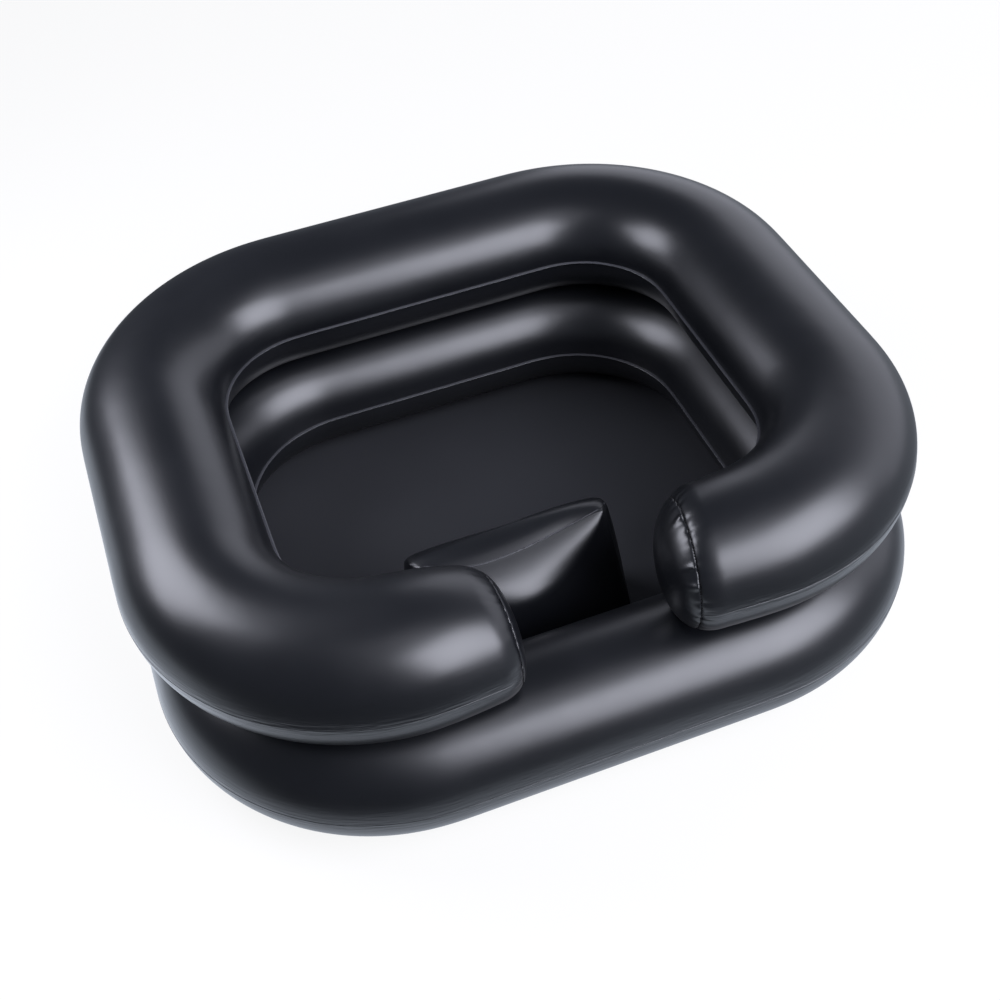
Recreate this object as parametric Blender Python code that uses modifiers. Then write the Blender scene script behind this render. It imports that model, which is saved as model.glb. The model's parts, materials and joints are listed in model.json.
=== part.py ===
"""Portable shampoo basin: two stacked air rings, a floor sheet, a neck cushion, valves and a drain.

Metres, +Z up. The origin lies on the ground under the middle of the lower ring. The neck gap faces -Y.
Each air chamber is a solid of its inflated shape, split where its welded sheets meet.
"""

import math

import bmesh
import bpy
from mathutils import Matrix, Vector

# Clearances
SEAT_GAP = 0.0003
CUT_OVERRUN = 0.02
MERGE_DISTANCE = 0.00001

# Welded sheets
SHEET_THICKNESS = 0.0005
RING_WELD_WIDTH = 0.003
FLOOR_WELD_WIDTH = 0.014

# Lower ring, along the middle of its tube
LOWER_HALF_WIDTH = 0.250
LOWER_HALF_DEPTH = 0.216
LOWER_FRONT_CORNER = 0.127
LOWER_REAR_CORNER = 0.154
LOWER_TUBE_HALF_WIDTH = 0.0557
LOWER_TUBE_HALF_HEIGHT = 0.0512

# Upper ring, along the middle of its tube, which stops at the neck gap
UPPER_OVERHANG_X = 0.001
UPPER_INSET_Y = 0.004
UPPER_SET_BACK = 0.0085
UPPER_FRONT_CORNER = 0.128
UPPER_REAR_CORNER = 0.137
UPPER_TUBE_HALF_WIDTH = 0.058
UPPER_TUBE_HALF_HEIGHT = 0.0521
RING_PRESS = 0.004
NECK_GAP = 0.146
NECK_OFFSET_X = 0.007
ARM_TAPER_LENGTH = 0.080
ARM_END_SHARE = 0.83
ARM_BEND_LENGTH = 0.115
LEFT_ARM_SWAY = 0.001
RIGHT_ARM_SWAY = 0.012
LEFT_CAP_BULGE = 0.012
RIGHT_CAP_BULGE = 0.020

# Neck cushion inside the front of the basin
HEADREST_WIDTH = 0.166
HEADREST_OFFSET_X = -0.017
HEADREST_HEIGHT = 0.105
HEADREST_STANDOFF = 0.008
HEADREST_BASE_DEPTH = 0.092
HEADREST_FRONT_LEAN = 0.0588
HEADREST_REAR_LEAN = 0.011
HEADREST_CROWN = 0.007
HEADREST_FRONT_BULGE = 0.042
HEADREST_REAR_BULGE = 0.004
HEADREST_GUSSET_BULGE = 0.010
HEADREST_WELD_WIDTH = 0.006
HEADREST_SEAM_CREASE_SHARE = 1
HEADREST_END_CREASE_SHARE = 0.6
HEADREST_VALVE_HEIGHT = 0.046
HEADREST_VALVE_SINK = 0.0012

# Inflation valves, the same on all three chambers
VALVE_FLANGE_RADIUS = 0.014
VALVE_FLANGE_THICKNESS = 0.001
VALVE_STEM_RADIUS = 0.0065
VALVE_STEM_HEIGHT = 0.009
VALVE_STEM_DEPTH = 0.008
VALVE_BORE_RADIUS = 0.0045
VALVE_STOPPER_LENGTH = 0.0085
VALVE_STOPPER_TIP_RADIUS = 0.0034
VALVE_HEAD_RADIUS = 0.0075
VALVE_HEAD_THICKNESS = 0.002
VALVE_FLAP_RADIUS = 0.0058
VALVE_FLAP_THICKNESS = 0.0008
VALVE_FLAP_SWING = math.radians(60)
VALVE_FLAP_ROOM = 0.0015
VALVE_TETHER_WIDTH = 0.005
VALVE_TETHER_THICKNESS = 0.001
VALVE_TETHER_REACH = 0.0045
RING_VALVE_TILT = math.radians(26)
LOWER_VALVE_X = 0.045
UPPER_VALVE_X = -0.045

# Drain fitting in the floor, with its stopper
DRAIN_X = -0.140
DRAIN_Y = -0.062
DRAIN_FLANGE_RADIUS = 0.020
DRAIN_FLANGE_THICKNESS = 0.0012
DRAIN_COLLAR_RADIUS = 0.0115
DRAIN_COLLAR_HEIGHT = 0.0065
DRAIN_BORE_RADIUS = 0.008
DRAIN_HEAD_RADIUS = 0.0125
DRAIN_HEAD_THICKNESS = 0.0022
DRAIN_STOPPER_TIP_RADIUS = 0.0068
DRAIN_TETHER_WIDTH = 0.006
DRAIN_TETHER_THICKNESS = 0.001
DRAIN_TETHER_REACH = 0.005

# Fineness of the round forms
SHARP_ANGLE = math.radians(35)
CORNER_STEPS = 12
SECTION_STEPS = 16
ARM_STEPS = 5
TURNED_STEPS = 24
TETHER_STEPS = 10
CAP_STEPS = 28

# Worked out from the sizes above
UPPER_HALF_WIDTH = LOWER_HALF_WIDTH + UPPER_OVERHANG_X
UPPER_HALF_DEPTH = LOWER_HALF_DEPTH - UPPER_INSET_Y
FLOOR_TOP = SHEET_THICKNESS
LOWER_FLAT = FLOOR_TOP + SEAT_GAP
LOWER_CENTRE = LOWER_TUBE_HALF_HEIGHT
CONTACT = LOWER_CENTRE + LOWER_TUBE_HALF_HEIGHT - RING_PRESS / 2
UPPER_CENTRE = CONTACT - RING_PRESS / 2 + UPPER_TUBE_HALF_HEIGHT
UPPER_FOOT = CONTACT + SEAT_GAP / 2
ARM_LINE = UPPER_SET_BACK - UPPER_HALF_DEPTH
HEADREST_FRONT = LOWER_TUBE_HALF_WIDTH - LOWER_HALF_DEPTH + HEADREST_STANDOFF
HEADREST_REAR = HEADREST_FRONT + HEADREST_BASE_DEPTH
HEADREST_BOTTOM = FLOOR_TOP + SEAT_GAP + SHEET_THICKNESS + SEAT_GAP

BLACK_VINYL = ((0.012, 0.013, 0.016, 1.0), 0.32)
FLOOR_VINYL = ((0.022, 0.023, 0.026, 1.0), 0.55)
MOULDED_VINYL = ((0.016, 0.016, 0.018, 1.0), 0.42)


def clear_scene():
    for obj in list(bpy.data.objects):
        bpy.data.objects.remove(obj, do_unlink=True)


def new_collection(name):
    collection = bpy.data.collections.new(name)
    bpy.context.scene.collection.children.link(collection)
    return collection


def finish(obj, look):
    """Gives a piece its own material and smooth shading."""
    colour, roughness = look
    material = bpy.data.materials.new(obj.name)
    material.use_nodes = True
    shader = material.node_tree.nodes["Principled BSDF"]
    shader.inputs["Base Color"].default_value = colour
    shader.inputs["Roughness"].default_value = roughness
    shader.inputs["Metallic"].default_value = 0
    obj.data.materials.clear()
    obj.data.materials.append(material)
    obj.data.shade_smooth()
    obj.data.set_sharp_from_angle(angle=SHARP_ANGLE)
    return obj


def add_object(name, mesh, collection):
    obj = bpy.data.objects.new(name, mesh)
    collection.objects.link(obj)
    return obj


def as_cutter(obj):
    obj.hide_render = True
    obj.display_type = "WIRE"
    return obj


def cut(obj, cutter):
    modifier = obj.modifiers.new(cutter.name, "BOOLEAN")
    modifier.operation = "DIFFERENCE"
    modifier.solver = "EXACT"
    modifier.object = cutter


def applied_mesh(obj):
    """The mesh of an object with its curve or modifiers worked out, welded and facing outwards."""
    bpy.context.view_layer.update()
    evaluated = obj.evaluated_get(bpy.context.evaluated_depsgraph_get())
    mesh = bpy.data.meshes.new_from_object(evaluated)
    shape = bmesh.new()
    shape.from_mesh(mesh)
    bmesh.ops.remove_doubles(shape, verts=shape.verts, dist=MERGE_DISTANCE)
    bmesh.ops.recalc_face_normals(shape, faces=shape.faces)
    shape.to_mesh(mesh)
    shape.free()
    return mesh


def made_mesh(obj, name, collection):
    """Replaces a curve, or an object with modifiers, by a plain mesh object."""
    mesh = applied_mesh(obj)
    place = obj.matrix_world.copy()
    bpy.data.objects.remove(obj, do_unlink=True)
    solid = add_object(name, mesh, collection)
    solid.matrix_world = place
    return solid


def poly_spline(curve, points, cyclic, radii=None):
    spline = curve.splines.new("POLY")
    spline.points.add(len(points) - 1)
    for index, place in enumerate(points):
        spline.points[index].co = (*place, 1)
        spline.points[index].radius = radii[index] if radii else 1
    spline.use_cyclic_u = cyclic


def swept(name, path, radii, cyclic, section, collection):
    """A closed section carried along a path, as a mesh object. The section's second axis points up."""
    profile = bpy.data.curves.new(name + "_section", "CURVE")
    profile.dimensions = "2D"
    poly_spline(profile, [(across, up, 0) for across, up in section], True)
    profile_object = add_object(name + "_section", profile, collection)
    guide = bpy.data.curves.new(name + "_path", "CURVE")
    guide.dimensions = "3D"
    guide.twist_mode = "Z_UP"
    guide.bevel_mode = "OBJECT"
    guide.bevel_object = profile_object
    guide.use_fill_caps = not cyclic
    poly_spline(guide, path, cyclic, radii)
    solid = made_mesh(add_object(name + "_path", guide, collection), name, collection)
    bpy.data.objects.remove(profile_object, do_unlink=True)
    return solid


def plate(name, outlines, thickness, collection):
    """A flat sheet from closed outlines, of which the inner ones are holes. Its middle is at z = 0."""
    curve = bpy.data.curves.new(name, "CURVE")
    curve.dimensions = "2D"
    curve.fill_mode = "BOTH"
    curve.extrude = thickness / 2
    for outline in outlines:
        poly_spline(curve, [(x, y, 0) for x, y in outline], True)
    return made_mesh(add_object(name, curve, collection), name, collection)


def turned(name, profile, closed, collection):
    """A profile of (radius, height) turned about Z. It runs down its outer side."""
    mesh = bpy.data.meshes.new(name)
    points = [(radius, 0, height) for radius, height in profile]
    edges = [(index, index + 1) for index in range(len(points) - 1)]
    if closed:
        edges.append((len(points) - 1, 0))
    mesh.from_pydata(points, edges, [])
    obj = add_object(name, mesh, collection)
    screw = obj.modifiers.new("turn", "SCREW")
    screw.axis = "Z"
    screw.steps = TURNED_STEPS
    screw.render_steps = TURNED_STEPS
    screw.use_merge_vertices = True
    screw.merge_threshold = MERGE_DISTANCE
    return obj


def arc(centre_x, centre_y, radius, start, steps):
    """Quarter of a circle, counterclockwise from the angle given in quarter turns."""
    quarter = math.pi / 2
    angles = [quarter * (start + step / steps) for step in range(steps + 1)]
    return [(centre_x + radius * math.cos(a), centre_y + radius * math.sin(a)) for a in angles]


def ring_outline(half_width, half_depth, front_corner, rear_corner, set_back):
    """Rounded rectangle, counterclockwise from the start of its right front corner."""
    right_front = arc(half_width - front_corner, front_corner - half_depth, front_corner, 3, CORNER_STEPS)
    right_rear = arc(half_width - rear_corner, half_depth - rear_corner, rear_corner, 0, CORNER_STEPS)
    left_rear = [(-x, y) for x, y in reversed(right_rear)]
    left_front = [(-x, y) for x, y in reversed(right_front)]
    outline = right_front + right_rear + left_rear + left_front
    return [(x, y + set_back) for x, y in outline]


def half_section(half_width, half_height, flat, side, lift=0):
    """One half of an elliptic tube, above (side 1) or below (side -1) its weld, cut flat at a distance.

    The weld's flange stands out on both sides of the tube. It lies at a height of lift over the path that
    the section is carried along.
    """
    reach = math.asin(min(flat / half_height, 1))
    half_steps = SECTION_STEPS // 2
    angles = [reach * step / half_steps for step in range(1, half_steps + 1)]
    weld_low = SEAT_GAP / 2
    weld_high = weld_low + SHEET_THICKNESS
    edge = half_width + RING_WELD_WIDTH
    quarter = [(edge, weld_low), (edge, weld_high), (half_width, weld_high)]
    quarter += [(half_width * math.cos(a), half_height * math.sin(a)) for a in angles]
    mirrored = [(-across, up) for across, up in reversed(quarter)]
    if flat >= half_height:
        mirrored = mirrored[1:]
    return [(across, lift + side * up) for across, up in quarter + mirrored]


def ring_cut_boxes(collection):
    """Blocks above the contact plane, which leave the lower ring round in the neck gap."""
    reach_x = LOWER_HALF_WIDTH + LOWER_TUBE_HALF_WIDTH + CUT_OVERRUN
    reach_y = LOWER_HALF_DEPTH + LOWER_TUBE_HALF_WIDTH + CUT_OVERRUN
    open_left = NECK_OFFSET_X - NECK_GAP / 2 + LEFT_CAP_BULGE + SEAT_GAP
    open_right = NECK_OFFSET_X + NECK_GAP / 2 - RIGHT_CAP_BULGE - SEAT_GAP
    behind_front_tube = LOWER_TUBE_HALF_WIDTH + CUT_OVERRUN - LOWER_HALF_DEPTH
    low = CONTACT - SEAT_GAP / 2
    high = CONTACT + CUT_OVERRUN
    return [
        box("press_rear", (-reach_x, behind_front_tube, low), (reach_x, reach_y, high), collection),
        box("press_left", (-reach_x, -reach_y, low), (open_left, behind_front_tube, high), collection),
        box("press_right", (open_right, -reach_y, low), (reach_x, behind_front_tube, high), collection),
    ]


def box(name, low, high, collection):
    shape = bmesh.new()
    bmesh.ops.create_cube(shape, size=1)
    low, high = Vector(low), Vector(high)
    bmesh.ops.scale(shape, vec=high - low, verts=shape.verts)
    bmesh.ops.translate(shape, vec=(low + high) / 2, verts=shape.verts)
    mesh = bpy.data.meshes.new(name)
    shape.to_mesh(mesh)
    shape.free()
    return as_cutter(add_object(name, mesh, collection))


def lower_ring(parts, cutters):
    outline = ring_outline(
        LOWER_HALF_WIDTH, LOWER_HALF_DEPTH, LOWER_FRONT_CORNER, LOWER_REAR_CORNER, 0
    )
    path = [(x, y, LOWER_CENTRE) for x, y in outline]
    halves = []
    for name, flat, side in (
        ("lower_ring_bottom_sheet", LOWER_CENTRE - LOWER_FLAT, -1),
        ("lower_ring_top_sheet", LOWER_TUBE_HALF_HEIGHT, 1),
    ):
        section = half_section(LOWER_TUBE_HALF_WIDTH, LOWER_TUBE_HALF_HEIGHT, flat, side)
        halves.append(swept(name, path, None, True, section, parts))
    for cutter in ring_cut_boxes(cutters):
        cut(halves[1], cutter)
    return halves


def arm_places(side):
    """Plan of one arm's straight stretch, from its end seam to the corner."""
    end = NECK_GAP / 2 + side * NECK_OFFSET_X
    straight = UPPER_HALF_WIDTH - UPPER_FRONT_CORNER - end
    return [(side * (end + straight * step / ARM_STEPS), ARM_LINE) for step in range(ARM_STEPS)]


def left_over(distance, length):
    """Falls smoothly from 1 at an arm's end to 0 at a length from it."""
    return max(1 - distance / length, 0) ** 2


def upper_path():
    """Plan of the upper ring from the right arm's end round to the left arm's, with its sizes as shares.

    Towards each end the tube narrows and sways towards the rear.
    """
    outline = ring_outline(
        UPPER_HALF_WIDTH, UPPER_HALF_DEPTH, UPPER_FRONT_CORNER, UPPER_REAR_CORNER, UPPER_SET_BACK
    )
    straight = arm_places(1) + outline + arm_places(-1)[::-1]
    run = [0]
    for before, after in zip(straight, straight[1:]):
        run.append(run[-1] + math.dist(before, after))
    places, sizes = [], []
    for (x, y), along in zip(straight, run):
        to_left = run[-1] - along
        sway = RIGHT_ARM_SWAY * left_over(along, ARM_BEND_LENGTH)
        sway += LEFT_ARM_SWAY * left_over(to_left, ARM_BEND_LENGTH)
        places.append((x, y + sway))
        sizes.append(1 - (1 - ARM_END_SHARE) * left_over(min(along, to_left), ARM_TAPER_LENGTH))
    return places, sizes


def upper_ring(parts):
    """The two halves of the open ring. Its path runs on its flat underside, where the arms narrow to."""
    places, sizes = upper_path()
    path = [(x, y, UPPER_FOOT) for x, y in places]
    lift = UPPER_CENTRE - UPPER_FOOT
    halves = []
    for name, flat, side in (
        ("upper_ring_bottom_sheet", lift, -1),
        ("upper_ring_top_sheet", UPPER_TUBE_HALF_HEIGHT, 1),
    ):
        section = half_section(UPPER_TUBE_HALF_WIDTH, UPPER_TUBE_HALF_HEIGHT, flat, side, lift)
        halves.append(swept(name, path, sizes, False, section, parts))
    return halves


def end_cap(name, end, inner, bulge, parts):
    """Domed panel that closes one arm of the upper ring, square to the arm's last stretch."""
    shape = bmesh.new()
    bmesh.ops.create_uvsphere(shape, u_segments=CAP_STEPS, v_segments=CAP_STEPS // 2, radius=1)
    cut_plane(shape, (0, 0, 0), (-1, 0, 0))
    half_width = UPPER_TUBE_HALF_WIDTH * ARM_END_SHARE
    half_height = UPPER_TUBE_HALF_HEIGHT * ARM_END_SHARE
    bmesh.ops.scale(shape, vec=(bulge, half_width, half_height), verts=shape.verts)
    heading = math.atan2(end[1] - inner[1], end[0] - inner[0])
    centre = UPPER_FOOT + (UPPER_CENTRE - UPPER_FOOT) * ARM_END_SHARE
    place = Matrix.Translation((*end, centre)) @ Matrix.Rotation(heading, 4, "Z")
    place = place @ Matrix.Translation((SEAT_GAP, 0, 0))
    bmesh.ops.transform(shape, matrix=place, verts=shape.verts)
    cut_plane(shape, (0, 0, UPPER_FOOT), (0, 0, -1))
    mesh = bpy.data.meshes.new(name)
    shape.to_mesh(mesh)
    shape.free()
    return add_object(name, mesh, parts)


def cut_plane(shape, place, outward):
    """Takes away all of a closed shape on the outward side of a plane and closes the cut."""
    everything = shape.verts[:] + shape.edges[:] + shape.faces[:]
    bmesh.ops.bisect_plane(
        shape, geom=everything, dist=MERGE_DISTANCE, plane_co=place, plane_no=outward, clear_outer=True
    )
    rim = [edge for edge in shape.edges if edge.is_boundary]
    bmesh.ops.holes_fill(shape, edges=rim)
    bmesh.ops.recalc_face_normals(shape, faces=shape.faces)


def basin_floor(parts):
    outline = ring_outline(
        LOWER_HALF_WIDTH + FLOOR_WELD_WIDTH,
        LOWER_HALF_DEPTH + FLOOR_WELD_WIDTH,
        LOWER_FRONT_CORNER + FLOOR_WELD_WIDTH,
        LOWER_REAR_CORNER + FLOOR_WELD_WIDTH,
        0,
    )
    full_turn = 2 * math.pi
    angles = [full_turn * step / TURNED_STEPS for step in range(TURNED_STEPS)]
    hole = [
        (DRAIN_X + DRAIN_BORE_RADIUS * math.cos(a), DRAIN_Y + DRAIN_BORE_RADIUS * math.sin(a))
        for a in angles
    ]
    sheet = plate("basin_floor", [outline, hole], SHEET_THICKNESS, parts)
    sheet.location.z = FLOOR_TOP - SHEET_THICKNESS / 2
    return sheet


def headrest_place(across, along, up):
    """A point of the cushion's cage, from -1 to 1 across its width, from front to rear and upwards."""
    rise = (up + 1) / 2
    front = HEADREST_FRONT + HEADREST_FRONT_LEAN * rise
    rear = HEADREST_REAR - HEADREST_REAR_LEAN * rise
    middle = (1 - across**2) * (1 - up**2 / 2)
    front -= HEADREST_FRONT_BULGE * middle * rise
    rear += HEADREST_REAR_BULGE * middle
    half_width = HEADREST_WIDTH / 2 + HEADREST_GUSSET_BULGE * (1 - along**2) * (1 - up**2)
    crown = HEADREST_CROWN * rise * (1 - across**2) * (1 - along**2 / 2)
    return Vector((
        HEADREST_OFFSET_X + half_width * across,
        front + (rear - front) * (along + 1) / 2,
        HEADREST_BOTTOM + (HEADREST_HEIGHT - HEADREST_BOTTOM) * rise + crown,
    ))


def headrest_crease(edge):
    """How sharp an edge of the cage is: the top seam most, then the front panel's two ends."""
    places = [vert.co for vert in edge.verts]
    if any(place.y > -1 for place in places):
        return 0
    if all(place.z == 1 for place in places):
        return HEADREST_SEAM_CREASE_SHARE
    if all(abs(place.x) == 1 for place in places):
        return HEADREST_END_CREASE_SHARE
    return 0


def headrest_solid(collection):
    """The whole cushion: a coarse cage made round by subdivision, with its seams creased."""
    shape = bmesh.new()
    bmesh.ops.create_cube(shape, size=2)
    bmesh.ops.subdivide_edges(shape, edges=shape.edges, cuts=3, use_grid_fill=True)
    crease = shape.edges.layers.float.new("crease_edge")
    for edge in shape.edges:
        edge[crease] = headrest_crease(edge)
    for vert in shape.verts:
        vert.co = headrest_place(*vert.co)
    mesh = bpy.data.meshes.new("headrest_cage")
    shape.to_mesh(mesh)
    shape.free()
    obj = add_object("headrest_cage", mesh, collection)
    smooth = obj.modifiers.new("round", "SUBSURF")
    smooth.levels = 1
    smooth.render_levels = 1
    return made_mesh(obj, "headrest_cage", collection)


def headrest_slice(name, source, planes, parts):
    """A piece of the cushion between planes, each given as a place and an outward direction."""
    shape = bmesh.new()
    shape.from_mesh(source.data)
    for place, outward in planes:
        cut_plane(shape, place, outward)
    mesh = bpy.data.meshes.new(name)
    shape.to_mesh(mesh)
    shape.free()
    return add_object(name, mesh, parts)


def headrest(parts):
    """The cushion's body between its two end gussets, under its top panel.

    The bowed seam along the top panel's front edge lies in one plane, which is where the panel is parted.
    """
    whole = headrest_solid(parts)
    seam = HEADREST_WIDTH / 2 - HEADREST_WELD_WIDTH
    left, right = HEADREST_OFFSET_X - seam, HEADREST_OFFSET_X + seam
    gap = SEAT_GAP / 2
    seam_end, seam_middle = headrest_place(1, -1, 1), headrest_place(0, -1, 1)
    slope = (seam_middle.z - seam_end.z) / (seam_end.y - seam_middle.y)
    upwards = Vector((0, slope, 1)).normalized()
    base = ((0, 0, HEADREST_BOTTOM), (0, 0, -1))
    below_panel = (seam_end - gap * upwards, upwards)
    cushion = headrest_slice(
        "headrest_cushion", whole,
        [base, below_panel, ((left + gap, 0, 0), (-1, 0, 0)), ((right - gap, 0, 0), (1, 0, 0))], parts,
    )
    left_side = ((left - gap, 0, 0), (1, 0, 0))
    right_side = ((right + gap, 0, 0), (-1, 0, 0))
    headrest_slice("headrest_left_gusset", whole, [base, below_panel, left_side], parts)
    headrest_slice("headrest_right_gusset", whole, [base, below_panel, right_side], parts)
    headrest_slice("headrest_top_panel", whole, [(seam_end + gap * upwards, -upwards)], parts)
    bpy.data.objects.remove(whole, do_unlink=True)
    return cushion


def headrest_base(parts):
    """Sheet under the cushion, with the flange that is welded to the floor."""
    half_width = HEADREST_WIDTH / 2 + HEADREST_WELD_WIDTH
    front = HEADREST_FRONT - HEADREST_WELD_WIDTH
    rear = HEADREST_REAR + HEADREST_WELD_WIDTH
    corner = HEADREST_WELD_WIDTH * 2
    half_depth = (rear - front) / 2
    outline = ring_outline(half_width, half_depth, corner, corner, (front + rear) / 2)
    outline = [(x + HEADREST_OFFSET_X, y) for x, y in outline]
    sheet = plate("headrest_base_sheet", [outline], SHEET_THICKNESS, parts)
    sheet.location.z = FLOOR_TOP + SEAT_GAP + SHEET_THICKNESS / 2
    return sheet


def mount_point(name, place, tilt, collection):
    """An empty whose Z axis is a fitting's own axis. It is turned about X, from upright towards +Y."""
    empty = bpy.data.objects.new(name, None)
    empty.location = place
    empty.rotation_euler = (-tilt, 0, 0)
    collection.objects.link(empty)
    return empty


def chamber_cutter(name, mount, cutters):
    """Flat seat for a valve's flange, with the hollow that its stem and its open flap need behind it."""
    seat = VALVE_FLANGE_RADIUS + VALVE_TETHER_THICKNESS
    hollow = VALVE_FLANGE_RADIUS - VALVE_STEM_RADIUS / 2
    swing = 2 * VALVE_FLAP_RADIUS * math.sin(VALVE_FLAP_SWING)
    depth = VALVE_STEM_DEPTH + VALVE_FLAP_THICKNESS + swing + VALVE_FLAP_ROOM
    profile = [(0, CUT_OVERRUN), (seat, CUT_OVERRUN), (seat, 0), (hollow, 0), (hollow, -depth), (0, -depth)]
    cutter = as_cutter(turned(name, profile, False, cutters))
    cutter.parent = mount
    return cutter


def valve_stem(name, mount, parts):
    """Moulded stem with its welded flange and through bore."""
    low = SEAT_GAP
    flange_top = low + VALVE_FLANGE_THICKNESS
    rounding = VALVE_FLANGE_THICKNESS / 2
    profile = [
        (VALVE_STEM_RADIUS - rounding, VALVE_STEM_HEIGHT),
        (VALVE_STEM_RADIUS, VALVE_STEM_HEIGHT - rounding),
        (VALVE_STEM_RADIUS, flange_top + rounding),
        (VALVE_STEM_RADIUS + rounding, flange_top),
        (VALVE_FLANGE_RADIUS - rounding, flange_top),
        (VALVE_FLANGE_RADIUS, flange_top - rounding),
        (VALVE_FLANGE_RADIUS, low),
        (VALVE_STEM_RADIUS, low),
        (VALVE_STEM_RADIUS, -VALVE_STEM_DEPTH),
        (VALVE_BORE_RADIUS, -VALVE_STEM_DEPTH),
        (VALVE_BORE_RADIUS, VALVE_STEM_HEIGHT),
    ]
    stem = turned(name, profile, True, parts)
    stem.parent = mount
    return stem


def stopper_profile(head_radius, head_thickness, plug_radius, tip_radius, length):
    """Plug with a bead near its tip, under a round head. The head's underside is at zero."""
    rounding = head_thickness / 3
    bead = plug_radius - (plug_radius - tip_radius) / 3
    return [
        (0, head_thickness),
        (head_radius - rounding, head_thickness),
        (head_radius, head_thickness - rounding),
        (head_radius, rounding),
        (head_radius - rounding, 0),
        (plug_radius, 0),
        (plug_radius, -length / 3),
        (bead, -length / 2),
        (plug_radius, -length * 2 / 3),
        (tip_radius, -length),
        (0, -length),
    ]


def valve_stopper(name, mount, parts):
    profile = stopper_profile(
        VALVE_HEAD_RADIUS, VALVE_HEAD_THICKNESS, VALVE_BORE_RADIUS - SEAT_GAP,
        VALVE_STOPPER_TIP_RADIUS, VALVE_STOPPER_LENGTH,
    )
    stopper = turned(name, profile, False, parts)
    stopper.parent = mount
    stopper.location.z = VALVE_STEM_HEIGHT + SEAT_GAP
    return stopper


def valve_flap(name, mount, parts):
    """Check flap behind the bore. Its own origin is on its hinge line, at the upper side of the stem."""
    thickness = VALVE_FLAP_THICKNESS
    shape = bmesh.new()
    bmesh.ops.create_cone(
        shape, cap_ends=True, segments=TURNED_STEPS, depth=thickness,
        radius1=VALVE_FLAP_RADIUS, radius2=VALVE_FLAP_RADIUS,
    )
    bmesh.ops.translate(shape, vec=(0, VALVE_FLAP_RADIUS, -thickness / 2), verts=shape.verts)
    mesh = bpy.data.meshes.new(name)
    shape.to_mesh(mesh)
    shape.free()
    flap = add_object(name, mesh, parts)
    flap.parent = mount
    flap.location = (0, -VALVE_FLAP_RADIUS, -VALVE_STEM_DEPTH - SEAT_GAP)
    return flap


def tether(name, mount, start, end, reach, width, thickness, parts):
    """Flat strap that leaves a stopper's head level and comes down square on a flange's lower side.

    Its ends are given as (distance from the axis, height). It bows out by a reach between them.
    """
    quarter = math.pi / 2
    points = []
    for step in range(TETHER_STEPS + 1):
        turn = step / TETHER_STEPS
        out = start[0] + (end[0] - start[0]) * math.sin(quarter * turn)
        bow = reach * math.sin(2 * quarter * turn) ** 2
        height = end[1] + (start[1] - end[1]) * math.cos(quarter * turn)
        points.append((0, out + bow, height))
    section = [
        (-width / 2, -thickness / 2), (width / 2, -thickness / 2),
        (width / 2, thickness / 2), (-width / 2, thickness / 2),
    ]
    strap = swept(name, points, None, False, section, parts)
    strap.parent = mount
    return strap


def valve_tether(name, mount, parts):
    start = (VALVE_HEAD_RADIUS + SEAT_GAP, VALVE_STEM_HEIGHT + SEAT_GAP + VALVE_HEAD_THICKNESS / 2)
    end = (VALVE_FLANGE_RADIUS - VALVE_TETHER_THICKNESS, SEAT_GAP + VALVE_FLANGE_THICKNESS + SEAT_GAP)
    return tether(
        name, mount, start, end, VALVE_TETHER_REACH, VALVE_TETHER_WIDTH, VALVE_TETHER_THICKNESS, parts
    )


def valve(prefix, place, tilt, parts, cutters):
    """One inflation valve. Returns the cutter that makes room for it in its chamber."""
    mount = mount_point(prefix + "_mount", place, tilt, cutters)
    valve_stem(prefix + "_stem", mount, parts)
    valve_flap(prefix + "_flap", mount, parts)
    valve_stopper(prefix + "_stopper", mount, parts)
    valve_tether(prefix + "_tether", mount, parts)
    return chamber_cutter(prefix + "_room", mount, cutters)


def seat_distance(half_width, half_height, tilt):
    """Distance from the middle of an elliptic tube to a flat seat for a valve's flange."""
    surface = 1 / math.hypot(math.cos(tilt) / half_width, math.sin(tilt) / half_height)
    seat = VALVE_FLANGE_RADIUS + VALVE_TETHER_THICKNESS
    return math.sqrt(surface**2 - seat**2) - SEAT_GAP


def ring_valve(prefix, x, line, centre, half_width, half_height, tilt, parts, cutters):
    """A valve on the rear of a ring, tilted up or down from level."""
    distance = seat_distance(half_width, half_height, tilt)
    place = (x, line + distance * math.cos(tilt), centre + distance * math.sin(tilt))
    return valve(prefix, place, math.pi / 2 - tilt, parts, cutters)


def headrest_valve(parts, cutters):
    """A valve on the cushion's rear, square to its lean."""
    lean = math.atan2(HEADREST_REAR_LEAN, HEADREST_HEIGHT - HEADREST_BOTTOM)
    rise = HEADREST_VALVE_HEIGHT - HEADREST_BOTTOM
    face = HEADREST_REAR - rise * math.tan(lean) + HEADREST_REAR_BULGE
    place = (HEADREST_OFFSET_X, face - HEADREST_VALVE_SINK, HEADREST_VALVE_HEIGHT)
    return valve("headrest_valve", place, math.pi / 2 - lean, parts, cutters)


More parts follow.
